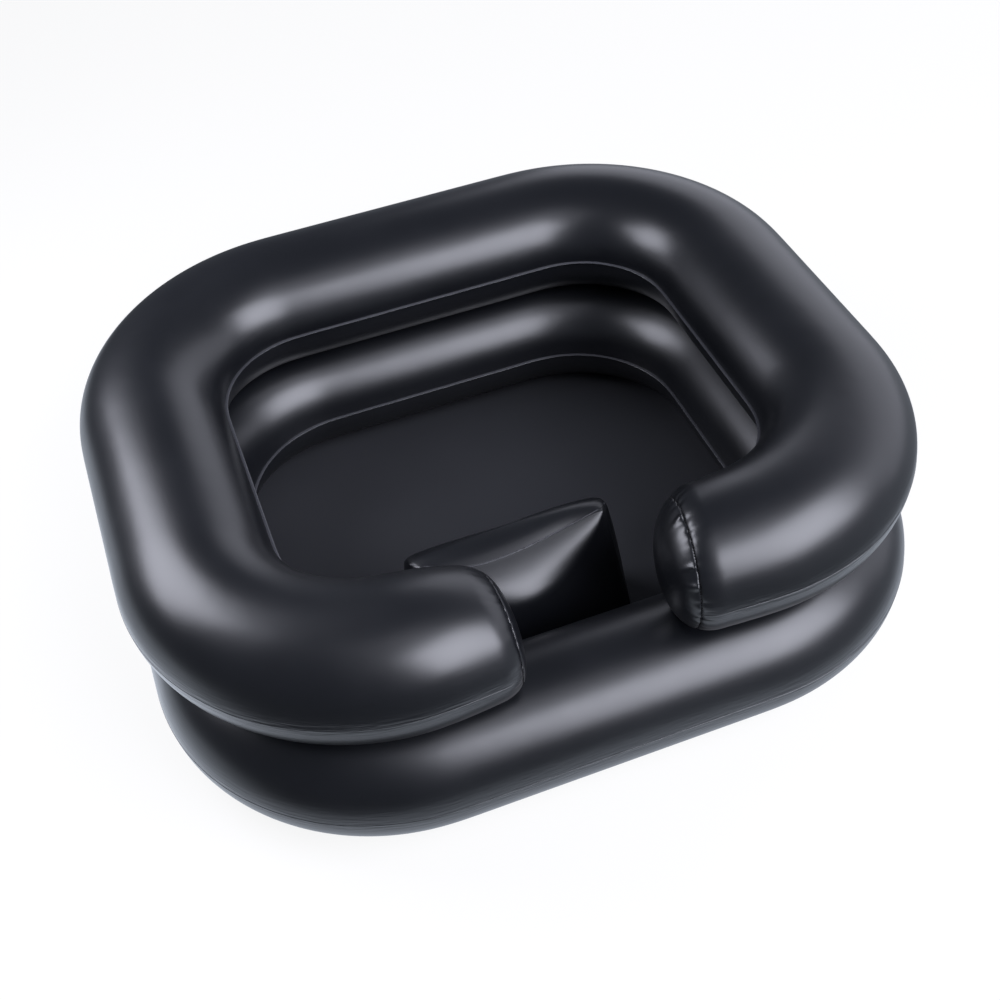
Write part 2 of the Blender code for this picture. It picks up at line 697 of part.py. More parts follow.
def drain(parts, cutters):
    """Drain fitting: a flange with a raised collar round the hole, its stopper and the stopper's tether."""
    mount = mount_point("drain_mount", (DRAIN_X, DRAIN_Y, FLOOR_TOP), 0, cutters)
    low = SEAT_GAP
    flange_top = low + DRAIN_FLANGE_THICKNESS
    rounding = DRAIN_FLANGE_THICKNESS / 2
    profile = [
        (DRAIN_COLLAR_RADIUS - rounding, DRAIN_COLLAR_HEIGHT),
        (DRAIN_COLLAR_RADIUS, DRAIN_COLLAR_HEIGHT - rounding),
        (DRAIN_COLLAR_RADIUS, flange_top + rounding),
        (DRAIN_COLLAR_RADIUS + rounding, flange_top),
        (DRAIN_FLANGE_RADIUS - rounding, flange_top),
        (DRAIN_FLANGE_RADIUS, flange_top - rounding),
        (DRAIN_FLANGE_RADIUS, low),
        (DRAIN_BORE_RADIUS, low),
        (DRAIN_BORE_RADIUS, DRAIN_COLLAR_HEIGHT),
    ]
    fitting = turned("drain_fitting", profile, True, parts)
    fitting.parent = mount
    stopper = turned("drain_stopper", stopper_profile(
        DRAIN_HEAD_RADIUS, DRAIN_HEAD_THICKNESS, DRAIN_BORE_RADIUS - SEAT_GAP,
        DRAIN_STOPPER_TIP_RADIUS, DRAIN_COLLAR_HEIGHT,
    ), False, parts)
    stopper.parent = mount
    stopper.location.z = DRAIN_COLLAR_HEIGHT + SEAT_GAP
    start = (DRAIN_HEAD_RADIUS + SEAT_GAP, DRAIN_COLLAR_HEIGHT + SEAT_GAP + DRAIN_HEAD_THICKNESS / 2)
    end = (DRAIN_FLANGE_RADIUS - DRAIN_TETHER_THICKNESS, flange_top + SEAT_GAP)
    tether(
        "drain_tether", mount, start, end, DRAIN_TETHER_REACH,
        DRAIN_TETHER_WIDTH, DRAIN_TETHER_THICKNESS, parts,
    )


def main():
    clear_scene()
    parts = new_collection("portable_shampoo_basin")
    cutters = new_collection("cutters")
    cutters.hide_render = True
    lower_bottom, lower_top = lower_ring(parts, cutters)
    upper_bottom, upper_top = upper_ring(parts)
    places = upper_path()[0]
    end_cap("upper_ring_right_end_cap", places[0], places[1], RIGHT_CAP_BULGE, parts)
    end_cap("upper_ring_left_end_cap", places[-1], places[-2], LEFT_CAP_BULGE, parts)
    basin_floor(parts)
    cushion = headrest(parts)
    headrest_base(parts)
    cut(lower_top, ring_valve(
        "lower_ring_valve", LOWER_VALVE_X, LOWER_HALF_DEPTH, LOWER_CENTRE,
        LOWER_TUBE_HALF_WIDTH, LOWER_TUBE_HALF_HEIGHT, RING_VALVE_TILT, parts, cutters,
    ))
    cut(upper_bottom, ring_valve(
        "upper_ring_valve", UPPER_VALVE_X, UPPER_HALF_DEPTH + UPPER_SET_BACK, UPPER_CENTRE,
        UPPER_TUBE_HALF_WIDTH, UPPER_TUBE_HALF_HEIGHT, -RING_VALVE_TILT, parts, cutters,
    ))
    cut(cushion, headrest_valve(parts, cutters))
    drain(parts, cutters)
    for obj in parts.objects:
        moulded = "valve" in obj.name or "drain" in obj.name
        floor = obj.name == "basin_floor"
        finish(obj, MOULDED_VINYL if moulded else FLOOR_VINYL if floor else BLACK_VINYL)


main()
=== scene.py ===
import json
from math import acos, atan2, copysign, cos, exp, hypot, log1p, pi, radians, sin
from typing import NamedTuple

import bmesh
import bpy
import numpy as np
from mathutils import Matrix, Vector, noise

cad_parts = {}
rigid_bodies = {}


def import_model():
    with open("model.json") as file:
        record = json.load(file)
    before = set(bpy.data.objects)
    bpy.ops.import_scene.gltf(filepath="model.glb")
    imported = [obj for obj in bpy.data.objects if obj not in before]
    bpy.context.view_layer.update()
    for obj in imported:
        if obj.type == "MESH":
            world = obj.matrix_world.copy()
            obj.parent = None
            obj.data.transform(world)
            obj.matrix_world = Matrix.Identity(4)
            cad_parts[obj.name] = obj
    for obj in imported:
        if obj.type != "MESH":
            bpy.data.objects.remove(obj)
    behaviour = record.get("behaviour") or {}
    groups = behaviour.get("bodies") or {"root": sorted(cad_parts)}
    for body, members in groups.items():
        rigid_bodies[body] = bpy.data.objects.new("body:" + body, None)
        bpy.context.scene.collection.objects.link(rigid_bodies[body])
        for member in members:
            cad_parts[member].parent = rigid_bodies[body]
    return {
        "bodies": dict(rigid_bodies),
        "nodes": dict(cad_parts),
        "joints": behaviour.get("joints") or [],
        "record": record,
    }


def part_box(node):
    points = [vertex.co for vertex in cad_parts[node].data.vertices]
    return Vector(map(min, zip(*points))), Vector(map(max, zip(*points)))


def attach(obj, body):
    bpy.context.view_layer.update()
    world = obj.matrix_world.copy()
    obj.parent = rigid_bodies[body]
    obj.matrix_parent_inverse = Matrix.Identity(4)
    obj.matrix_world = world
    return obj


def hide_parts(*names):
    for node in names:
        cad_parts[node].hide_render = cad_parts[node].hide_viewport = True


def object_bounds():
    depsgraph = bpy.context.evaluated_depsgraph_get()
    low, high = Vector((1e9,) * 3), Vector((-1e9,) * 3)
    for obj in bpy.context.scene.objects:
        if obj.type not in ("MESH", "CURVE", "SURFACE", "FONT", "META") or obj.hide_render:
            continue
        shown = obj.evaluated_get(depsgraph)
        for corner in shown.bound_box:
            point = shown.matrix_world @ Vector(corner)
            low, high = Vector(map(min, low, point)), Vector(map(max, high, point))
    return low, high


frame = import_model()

CAD_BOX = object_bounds()
NODES = frame["nodes"]

# Shared small values, in metres apart from the last two
TOUCH = 0.00001
SEAM_GAP = 0.00015
SHARP_ANGLE = radians(40)
FAR_BELOW = 30


class Ring(NamedTuple):
    """One air ring: its middle line in plan, the half sizes of its tube, and where the tube lies."""

    half_width: float
    half_depth: float
    front_corner: float
    rear_corner: float
    set_back: float
    tube_width: float
    tube_height: float
    centre: float
    foot: float


LOWER = Ring(0.250, 0.216, 0.127, 0.154, 0, 0.0557, 0.0512, 0.0512, 0.0008)
UPPER = Ring(0.251, 0.212, 0.128, 0.137, 0.0085, 0.058, 0.0521, 0.1505, 0.10055)
CONTACT = 0.10025
CONTACT_SOFTNESS = 0.0006
FOOT_SOFTNESS = 0.0002

# The neck gap, where nothing lies on the lower ring: its eases at three sides, and how far the ring may rise
FREE_LEFT = (-0.067, -0.050)
FREE_RIGHT = (0.054, 0.071)
FREE_REAR = (0.10, 0.13)
FREE_RISE = 0.02

# The open front of the upper ring, where the neck lies. 1 is the right arm, -1 the left one.
GAP_MIDDLE = 0.007
GAP_REACH = {1: 0.0682, -1: 0.071}
ARM_TAPER = {1: 0.13, -1: 0.08}
ARM_END_SHARE = {1: 0.93, -1: 0.83}
ARM_BEND = 0.115
SWAY = {1: 0.002, -1: 0.001}
SKEW = {1: -0.155, -1: 0}
CAP_BULGE = {1: 0.0195, -1: 0.010}
CAP_RIM = 0.93
CAP_POWER = 2.2
SHOULDER = 0.015
SHOULDER_DROP = 0.08

# Fineness of the rings
SECTION_STEPS = 96
RUN_STEP = 0.003
END_STEP = 0.0008
END_GROWTH = 0.06
CORNER_EASE = 0.022
DENSE_STEP = 0.001
LENGTH_STEPS = 20
WRAP = 2
CAP_STEPS = 200

# Gathers, grooves and wrinkles beside the welds
PUCKERS = 32
PUCKER_DEPTH = 0.0018
PUCKER_REACH = 0.005
PUCKER_DRIFT = 3
PUCKER_SIZE = (0.55, 0.9)
LEAST_PUCKER = 0.1
PUCKER_SHARPNESS = 0.7
DRIFT_CIRCLE = (2.2, 5)
SIZE_CIRCLE = (3.1, 9)
GROOVE_DEPTH = 0.0013
GROOVE_REACH = 0.0011
WRINKLE_REACH = {1: 0.009, -1: 0.003}
INNER_WRINKLES = 0.3
LONE_GATHERS = {1: (0.52, 0.82, 1.64), -1: ()}
LONE_WIDTH = 0.048
LONE_HEIGHT = 0.0025
LONE_REACH = 0.0028
CALM_MIDDLE = 4
CAP_LINE = 0.05

# Weld lines: how far the rings' thin edges, outside (1) and inside (-1), stand out, their half widths and
# half thicknesses, and the caps' beads
WELDS = {1: (0.0002, 0.0018, 0.0003), -1: (0.0022, 0.0022, 0.0005)}
WELD_SIDES = 16
WELD_DROP = 0.02
WELD_WAVE = (0.0002, 60)
STITCHES = 150
STITCH_STEPS = 4
STITCH_DEPTH = 0.0006
BEAD_RADIUS = 0.0004
BEAD_SIDES = 10
BEAD_ROUGHNESS = (0.0003, 400)
BEAD_WANDER = (0.0004, 90)


# ---- Materials ----


def math_node(operation, flipped=False):
    """An operator of a Value, which adds a Math node."""

    def made(self, other):
        inputs = {0: other, 1: self} if flipped else {0: self, 1: other}
        return self.look.node("ShaderNodeMath", {"operation": operation}, inputs)

    return made


class Value:
    """A number that varies over a surface: an output socket of a node."""

    def __init__(self, look, socket):
        self.look, self.socket = look, socket

    __add__, __radd__ = math_node("ADD"), math_node("ADD", True)
    __sub__, __rsub__ = math_node("SUBTRACT"), math_node("SUBTRACT", True)
    __mul__, __rmul__ = math_node("MULTIPLY"), math_node("MULTIPLY", True)


class Look:
    """A material, or the world, in the making."""

    def __init__(self, name, group="materials"):
        self.owner = getattr(bpy.data, group).new(name)
        self.owner.use_nodes = True
        self.tree = self.owner.node_tree
        self.shader = self.tree.nodes.get("Principled BSDF")
        self.place = self.node("ShaderNodeTexCoord", output="Object")

    def put(self, value, socket):
        """Gives a socket a constant or a link."""
        if isinstance(value, Value):
            self.tree.links.new(value.socket, socket)
        else:
            socket.default_value = value

    def node(self, kind, settings=None, inputs=None, output=0):
        """Any node, from its type, its settings and the values or links of its sockets."""
        made = self.tree.nodes.new(kind)
        for name, value in (settings or {}).items():
            setattr(made, name, value)
        for name, value in (inputs or {}).items():
            self.put(value, made.inputs[name])
        return Value(self, made.outputs[output])

    def set(self, **sockets):
        """Constants and links of the shader's own sockets, with _ for a space in a name."""
        for name, value in sockets.items():
            self.put(value, self.shader.inputs[name.replace("_", " ")])

    def vector(self, operation, inputs, output="Vector"):
        return self.node("ShaderNodeVectorMath", {"operation": operation}, inputs, output)

    def noise(self, scale, detail=2, roughness=0.5, place=None):
        inputs = {"Vector": place or self.place, "Scale": scale, "Detail": detail, "Roughness": roughness}
        return self.node("ShaderNodeTexNoise", None, inputs, "Fac")

    def range(self, value, low, high, to_low=0, to_high=1):
        """Maps a value from one range to another, held inside it."""
        inputs = {"Value": value, "From Min": low, "From Max": high, "To Min": to_low, "To Max": to_high}
        return self.node("ShaderNodeMapRange", {"interpolation_type": "SMOOTHSTEP"}, inputs)

    def blend(self, factor, dark, light):
        settings = {"data_type": "RGBA"}
        return self.node("ShaderNodeMix", settings, {"Factor": factor, 6: dark, 7: light}, 2)

    def bump(self, height, distance, strength=1, normal=None):
        inputs = {"Height": height, "Distance": distance, "Strength": strength}
        if normal:
            inputs["Normal"] = normal
        return self.node("ShaderNodeBump", None, inputs)

    def attribute(self, name, output="Fac"):
        return self.node("ShaderNodeAttribute", {"attribute_name": name}, None, output)


def chamber_vinyl():
    """Semi-gloss black sheet with handling haze, fine grain and long wrinkles beside the welds."""
    look = Look("chamber_vinyl")
    haze = look.noise(9, 4, 0.55)
    grain = look.noise(1400, 2)
    soft_waves = look.noise(22, 2)
    near_weld = look.attribute("weld_near")
    beside = look.attribute("weld_line", "Vector")
    stretched = look.vector("MULTIPLY", {0: beside, 1: (1, 1, 7)})
    wrinkles = look.noise(55, 2, 0.6, stretched)
    tone = look.range(haze, 0.3, 0.7)
    look.set(
        Base_Color=look.blend(tone, (0.0034, 0.0040, 0.0056, 1), (0.0046, 0.0053, 0.0072, 1)),
        Roughness=look.range(haze, 0.3, 0.7, 0.30, 0.34) + 0.03 * grain - 0.04 * near_weld,
        IOR=1.65,
    )
    slow = look.bump(soft_waves, 0.0012, 0.22)
    wrinkled = look.bump(wrinkles * near_weld, 0.0012, 0.6, slow)
    look.set(Normal=look.bump(grain, 0.00003, 0.6, wrinkled))
    return look.owner


def floor_vinyl():
    """Matt black sheet with a fine embossed grain and soft waves."""
    look = Look("floor_vinyl")
    haze = look.noise(7, 4, 0.6)
    grain = look.noise(1100, 3, 0.6)
    waves = look.noise(15, 2)
    look.set(
        Base_Color=look.blend(haze, (0.027, 0.028, 0.032, 1), (0.032, 0.033, 0.037, 1)),
        Roughness=look.range(haze, 0.3, 0.7, 0.50, 0.58) + 0.04 * grain,
        IOR=1.5,
    )
    look.set(Normal=look.bump(grain, 0.00005, 0.8, look.bump(waves, 0.002, 0.3)))
    return look.owner


def weld_vinyl():
    """The pressed band of a weld: smoother than the sheets and finely ribbed, and paler than them as a
    painted highlight, so that the weld shows as a light line.
    """
    look = Look("weld_vinyl")
    haze = look.noise(30, 3)
    ribs = look.noise(700, 2)
    # Painted highlight: the pale colour makes the weld show as a light line
    look.set(
        Base_Color=look.blend(haze, (0.045, 0.046, 0.052, 1), (0.060, 0.061, 0.068, 1)),
        Roughness=look.range(haze, 0.3, 0.7, 0.24, 0.32),
        IOR=1.5,
    )
    look.set(Normal=look.bump(ribs, 0.0002, 0.5))
    return look.owner


def seam_thread():
    """The dark pressed line of a cap's weld, dull, with paler flecks painted as glints, so that it looks
    stitched.
    """
    look = Look("seam_thread")
    flecks = look.noise(420, 2)
    # Painted glints: paler flecks in the colour stand for the light that the stitched bead catches
    painted_glints = look.range(flecks, 0.52, 0.7)
    look.set(
        Base_Color=look.blend(painted_glints, (0.0012, 0.0012, 0.0016, 1), (0.02, 0.02, 0.024, 1)),
        Roughness=look.range(flecks, 0.4, 0.7, 0.75, 0.4),
        IOR=1.3,
    )
    look.set(Normal=look.bump(flecks, 0.0002, 0.6))
    return look.owner


def moulded_vinyl():
    """Satin moulded fittings with a fine spark-eroded grain and worn, shinier patches."""
    look = Look("moulded_vinyl")
    wear = look.noise(120, 3)
    grain = look.noise(2600, 2)
    look.set(
        Base_Color=look.blend(wear, (0.014, 0.014, 0.016, 1), (0.019, 0.019, 0.021, 1)),
        Roughness=look.range(wear, 0.35, 0.65, 0.36, 0.46) + 0.05 * grain,
        IOR=1.5,
    )
    look.set(Normal=look.bump(grain, 0.00004, 0.8))
    return look.owner


# ---- Shared making of pieces ----


def finished(name, mesh, material, nodes=(), body="basin"):
    """Turns a mesh into a piece that rides on a body and stands for the nodes given."""
    mesh.materials.clear()
    mesh.materials.append(material)
    mesh.shade_smooth()
    mesh.set_sharp_from_angle(angle=SHARP_ANGLE)
    piece = loose(name, mesh)
    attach(piece, body)
    if nodes:
        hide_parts(*nodes)
    return piece


def plain_mesh(shape, name):
    """The mesh of a bmesh as it is. The bmesh goes."""
    mesh = bpy.data.meshes.new(name)
    shape.to_mesh(mesh)
    shape.free()
    return mesh


def mesh_of(shape, name):
    """The mesh of a bmesh with its doubles merged and its faces outwards."""
    bmesh.ops.remove_doubles(shape, verts=shape.verts, dist=TOUCH)
    bmesh.ops.recalc_face_normals(shape, faces=shape.faces)
    return plain_mesh(shape, name)


def verts_in(geometry):
    return [item for item in geometry if isinstance(item, bmesh.types.BMVert)]


def all_of(shape):
    return shape.verts[:] + shape.edges[:] + shape.faces[:]


def worked_out(obj, name):
    """The mesh of an object with its modifiers or its curve worked out. The object goes."""
    bpy.context.view_layer.update()
    mesh = bpy.data.meshes.new_from_object(obj.evaluated_get(bpy.context.evaluated_depsgraph_get()))
    mesh.transform(obj.matrix_world)
    mesh.name = name
    bpy.data.objects.remove(obj, do_unlink=True)
    return mesh


def loose(name, data):
    """An object in the scene, at the origin."""
    obj = bpy.data.objects.new(name, data)
    bpy.context.scene.collection.objects.link(obj)
    return obj


def common_part(mesh, cutter):
    """What a mesh shares with another one. Both are used up."""
    whole, tool = loose("whole", mesh), loose("tool", cutter)
    modifier = whole.modifiers.new("cut", "BOOLEAN")
    modifier.operation = "INTERSECT"
    modifier.solver = "EXACT"
    modifier.object = tool
    made = worked_out(whole, mesh.name + "_cut")
    bpy.data.objects.remove(tool, do_unlink=True)
    return made


def cut_plane(shape, place, outward):
    """Takes away all of a closed shape on the outward side of a plane and closes the cut."""
    bmesh.ops.bisect_plane(
        shape, geom=all_of(shape), dist=TOUCH, plane_co=place, plane_no=outward, clear_outer=True
    )
    bmesh.ops.holes_fill(shape, edges=[edge for edge in shape.edges if edge.is_boundary])


def spun(shape, axis, steps):
    """Turns an outline once round an axis through the origin."""
    bmesh.ops.spin(
        shape, geom=all_of(shape), cent=(0, 0, 0), axis=axis, dvec=(0, 0, 0), angle=2 * pi, steps=steps,
        use_merge=True,
    )


def ease(value, low, high):
    """Rises smoothly from 0 at low to 1 at high."""
    share = min(max((value - low) / (high - low), 0), 1)
    return share * share * (3 - 2 * share)


def soft_limit(value, limit, softness):
    """Holds a value under a limit, with a rounded shoulder."""
    below = (limit - value) / softness
    return value if below > FAR_BELOW else limit - softness * log1p(exp(below))


def waver(place, size, scale):
    """Small shift by noise at a place, from its size and the noise's scale."""
    return size * noise.noise(place * scale)


def facing(turn, rise):
    """Unit vector from the object to what is at a turn from the front and a rise."""
    return Vector((sin(turn) * cos(rise), -cos(turn) * cos(rise), sin(rise)))


def frame_of(first, second, third, place):
    """The frame with the three axes given, at a place."""
    return Matrix.Translation(place) @ Matrix((first, second, third)).transposed().to_4x4()


# ---- Rings ----


def quarter(centre_x, centre_y, radius, start):
    """Quarter of a circle in one-degree steps, counterclockwise from a start in quarter turns."""
    turns = [radians(90 * start + step) for step in range(91)]
    return [(centre_x + radius * cos(turn), centre_y + radius * sin(turn)) for turn in turns]


def outline(ring):
    """A ring's middle line in plan, counterclockwise from the start of its right front corner."""
    wide, deep, front, rear = ring[:4]
    right = quarter(wide - front, front - deep, front, 3) + quarter(wide - rear, deep - rear, rear, 0)
    left = [(-x, y) for x, y in reversed(right)]
    return [(x, y + ring.set_back) for x, y in right + left]


def even_line(points):
    """The same line in short even steps, as an array."""
    points = np.array(points)
    run = np.concatenate([[0], np.cumsum(np.hypot(*np.diff(points, axis=0).T))])
    steps = np.arange(0, run[-1], DENSE_STEP)
    return np.column_stack([np.interp(steps, run, points[:, 0]), np.interp(steps, run, points[:, 1])])


def eased_line(line, closed):
    """Evens out where straights and corners meet, as air pressure does."""
    reach = round(CORNER_EASE / DENSE_STEP)
    if closed:
        padded = np.concatenate([line[-reach:], line, line[:reach]])
    else:
        steps = np.arange(1, reach + 1)[:, None]
        before = line[0] - steps[::-1] * (line[1] - line[0])
        after = line[-1] + steps * (line[-1] - line[-2])
        padded = np.concatenate([before, line, after])
    kernel = np.hanning(2 * reach + 3)[1:-1]
    kernel /= kernel.sum()
    return np.column_stack([np.convolve(padded[:, axis], kernel, "valid") for axis in (0, 1)])


def left_over(distance, length):
    """Falls smoothly from 1 at an arm's end to 0 at a length from it."""
    return np.maximum(1 - distance / length, 0) ** 2


def lower_line():
    """The whole way round the lower ring."""
    points = outline(LOWER)
    return eased_line(even_line(points + points[:1]), True)


def upper_line():
    """From the right arm's end round to the left arm's, with the sway of both arms."""
    line_y = UPPER.set_back - UPPER.half_depth
    right_end, left_end = GAP_MIDDLE + GAP_REACH[1], GAP_MIDDLE - GAP_REACH[-1]
    line = even_line([(right_end, line_y)] + outline(UPPER) + [(left_end, line_y)])
    along = np.arange(len(line)) * DENSE_STEP
    line = eased_line(line, False)
    line[:, 1] += SWAY[1] * left_over(along, ARM_BEND) + SWAY[-1] * left_over(along[-1] - along, ARM_BEND)
    return line


class Station(NamedTuple):
    """A place along a ring: its frame (outward, along, up), and its arm's end, how far, large and slanted."""

    frame: Matrix
    middle: Vector
    to_end: float
    end_share: float
    skew: float


def stations(line, height, closed):
    """Stations along a line, closer together near the ends of an open one."""
    length = (len(line) - (0 if closed else 1)) * DENSE_STEP
    if closed:
        count = round(length / RUN_STEP)
        runs = [length * step / count for step in range(count + 1)]
        line = np.concatenate([line[-WRAP:], line, line[:WRAP + 1]])
        shift = WRAP * DENSE_STEP
    else:
        half, runs = length / 2, [0]
        while runs[-1] < half:
            runs.append(runs[-1] + min(RUN_STEP, END_STEP + END_GROWTH * runs[-1]))
        share = half / runs[-1]
        runs = [run * share for run in runs]
        runs += [length - run for run in reversed(runs[:-1])]
        shift = 0
    steps = np.arange(len(line)) * DENSE_STEP - shift
    heading = np.gradient(line, axis=0)
    made = []
    for run in runs:
        x, y, go_x, go_y = (float(np.interp(run, steps, row)) for row in (*line.T, *heading.T))
        go = Vector((go_x, go_y, 0)).normalized()
        to_end = 1.0 if closed else min(run, length - run)
        side = 1 if run < length / 2 else -1
        end_share = 1.0 if closed else ARM_END_SHARE[side]
        size = 1 - (1 - end_share) * float(left_over(to_end, ARM_TAPER[side]))
        skew = 0.0 if closed else SKEW[side] * float(left_over(to_end, ARM_BEND))
        outward = ((go.y + skew * go.x) * size, (skew * go.y - go.x) * size, 0)
        middle = Vector((x, y, height))
        frame = frame_of(outward, go, (0, 0, size), middle)
        made.append(Station(frame, middle, to_end, end_share, skew))
    return made


def swept(section, places, closed, shaped):
    """Carries a closed outline along stations, in short lengths that are shaped and then joined."""
    whole = bmesh.new()
    for start in range(0, len(places) - 1, LENGTH_STEPS):
        part = places[start:start + LENGTH_STEPS + 1]
        length = section.copy()
        verts, edges = length.verts[:], length.edges[:]
        bmesh.ops.transform(length, matrix=part[0].frame, verts=verts)
        rows, first = [verts], edges
        for before, after in zip(part, part[1:]):
            made = bmesh.ops.extrude_edge_only(length, edges=edges)["geom"]
            verts = verts_in(made)
            edges = [item for item in made if isinstance(item, bmesh.types.BMEdge) and item.is_boundary]
            bmesh.ops.transform(length, matrix=after.frame @ before.frame.inverted(), verts=verts)
            rows.append(verts)
        if not closed and part[0] == places[0]:
            bmesh.ops.holes_fill(length, edges=first)
        if not closed and part[-1] == places[-1]:
            bmesh.ops.holes_fill(length, edges=edges)
        line = length.verts.layers.float_vector.get("weld_line")
        around = length.verts.layers.float.get("around")
        for place, row in zip(part, rows):
            for vert in row:
                shaped(vert, place)
                if line:
                    vert[line] = (*place.middle.xy, vert[around])
        add_shape(whole, length)
    section.free()
    return whole


def add_shape(whole, part):
    """Joins a bmesh to another one and frees it."""
    mesh = plain_mesh(part, "part")
    whole.from_mesh(mesh)
    bpy.data.meshes.remove(mesh)


def round_noise(turn, radius, layer):
    """Noise along a circle, so that it meets itself."""
    return noise.noise(Vector((radius * cos(turn), radius * sin(turn), layer)))


def pucker(turn):
    """Gathers of a sheet along the round weld of an end cap, 0 on a crest and negative in a fold."""
    drift = round_noise(turn, *DRIFT_CIRCLE)
    size = PUCKER_SIZE[0] + PUCKER_SIZE[1] * round_noise(turn, *SIZE_CIRCLE)
    wave = abs(sin(PUCKERS * turn / 2 + PUCKER_DRIFT * drift))
    return -max(size, LEAST_PUCKER) * (1 - wave**PUCKER_SHARPNESS)


def drawn_in(turn, distance):
    """How far a sheet is drawn in (negative) beside a cap's weld by the gathers and the weld's groove."""
    gathers = PUCKER_DEPTH * pucker(turn) * exp(-distance / PUCKER_REACH)
    return gathers - GROOVE_DEPTH * exp(-distance / GROOVE_REACH)


def half_tube(name, ring, places, side, closed, shaped):
    """One sheet of a ring, above (side 1) or below (side -1) its weld, as a closed half tube."""
    section = bmesh.new()
    section.verts.layers.float_vector.new("weld_line")
    for layer in ("weld_near", "around"):
        section.verts.layers.float.new(layer)
    near = section.verts.layers.float["weld_near"]
    around = section.verts.layers.float["around"]
    bmesh.ops.create_circle(section, segments=2 * SECTION_STEPS, radius=1)
    below = [vert for vert in section.verts if vert.co.y < -TOUCH]
    bmesh.ops.delete(section, geom=below, context="VERTS")
    section.edges.new([vert for vert in section.verts if vert.co.y < TOUCH])
    lift = ring.centre - places[0].middle.z
    for vert in section.verts:
        across, up = vert.co.x, max(vert.co.y, 0)
        turn = atan2(up, across)
        from_outer, from_inner = ring.tube_width * turn, ring.tube_width * (pi - turn)
        beside_inner = INNER_WRINKLES * exp(-from_inner / WRINKLE_REACH[-1])
        vert[near] = exp(-from_outer / WRINKLE_REACH[1]) + beside_inner
        vert[around] = side * from_outer
        vert.co = (ring.tube_width * across, 0, lift + side * (SEAM_GAP + ring.tube_height * up))
    return mesh_of(swept(section, places, closed, shaped), name)


def lower_shaped(vert, place):
    """Presses the lower ring flat under the upper one, but not in the neck gap, and on its foot."""
    x, y = vert.co.x, vert.co.y
    in_gap = ease(x, *FREE_LEFT) * (1 - ease(x, *FREE_RIGHT)) * ease(-y, *FREE_REAR)
    vert.co.z = soft_limit(vert.co.z, CONTACT + FREE_RISE * in_gap, CONTACT_SOFTNESS)
    rest_on(vert, LOWER.foot)


def rest_on(vert, height):
    """Presses a point flat on what it stands on."""
    vert.co.z = -soft_limit(-vert.co.z, -height, FOOT_SOFTNESS)


def upper_shaped(vert, place):
    """Rounds the arms' ends into their welds, with gathers, and presses the ring flat on its foot."""
    if place.to_end < SHOULDER:
        middle = arm_middle(place)
        out = vert.co - middle
        across = copysign(out.xy.length, out.dot(place.frame.col[0].to_3d()))
        inward = drawn_in(atan2(out.z, across), place.to_end)
        drop = SHOULDER_DROP * (1 - place.to_end / SHOULDER) ** 2
        vert.co = middle + out * (1 - drop) + out.normalized() * inward
    rest_on(vert, UPPER.foot)


def arm_middle(place):
    """The middle of an arm's end section."""
    height = UPPER.foot + (UPPER.centre - UPPER.foot) * place.end_share
    return Vector((place.middle.x, place.middle.y, height))


def weld_band(name, ring, places, side, closed, material):
    """The welded edge that stands out from a ring, outside (side 1) or inside (side -1)."""
    stands_out, half_width, half_thickness = WELDS[side]
    section = bmesh.new()
    bmesh.ops.create_circle(section, segments=WELD_SIDES, radius=1)
    lift = ring.centre - places[0].middle.z
    middle = ring.tube_width + stands_out - half_width
    for vert in section.verts:
        vert.co = (side * middle + half_width * vert.co.x, 0, lift + half_thickness * vert.co.y)
    shape = swept(section, places, closed, weld_shaped)
    finished(name, mesh_of(shape, name), material)


def weld_shaped(vert, place):
    """Draws a weld in with the arm's shoulder and lets it wander a little."""
    if place.to_end < SHOULDER:
        share = 1 - (SHOULDER_DROP + WELD_DROP) * (1 - place.to_end / SHOULDER) ** 2
        centre = Vector((place.middle.x, place.middle.y, vert.co.z))
        vert.co = centre + (vert.co - centre) * share
    vert.co.z += waver(place.middle, *WELD_WAVE)


def cap_frame(places):
    """The frame of an arm's end: outwards through the gap, sideways and up, at the middle of its weld."""
    last, before = places
    out = (last.middle - before.middle).normalized()
    side = Vector((-out.y, out.x, 0)) - last.skew * out
    return frame_of(out, side, (0, 0, 1), arm_middle(last))


def dome(out):
    """Height of a cap, from 1 at its middle to 0 at its rim, as the tip of one round end with the arm."""
    rim = (1 - CAP_RIM**CAP_POWER) ** (1 / CAP_POWER)
    here = (1 - (CAP_RIM * min(out, 1)) ** CAP_POWER) ** (1 / CAP_POWER)
    return (here - rim) / (1 - rim)


def lone_gathers(side, turn, distance):
    """How far the few single gathers stand out beside a cap's weld."""
    crests = sum(LONE_HEIGHT * exp(-(((turn - at) / LONE_WIDTH) ** 2)) for at in LONE_GATHERS[side])
    return crests * distance / LONE_REACH * exp(1 - distance / LONE_REACH)


def end_size(place):
    """Half width and half height of an arm's end at its weld."""
    share = place.end_share * (1 - SHOULDER_DROP)
    return UPPER.tube_width * share, UPPER.tube_height * share


def put_on_arm(shape, places):
    """Moves what was made about the origin to an arm's end and rests it on the lower ring."""
    bmesh.ops.transform(shape, matrix=cap_frame(places), verts=shape.verts)
    for vert in shape.verts:
        rest_on(vert, UPPER.foot)


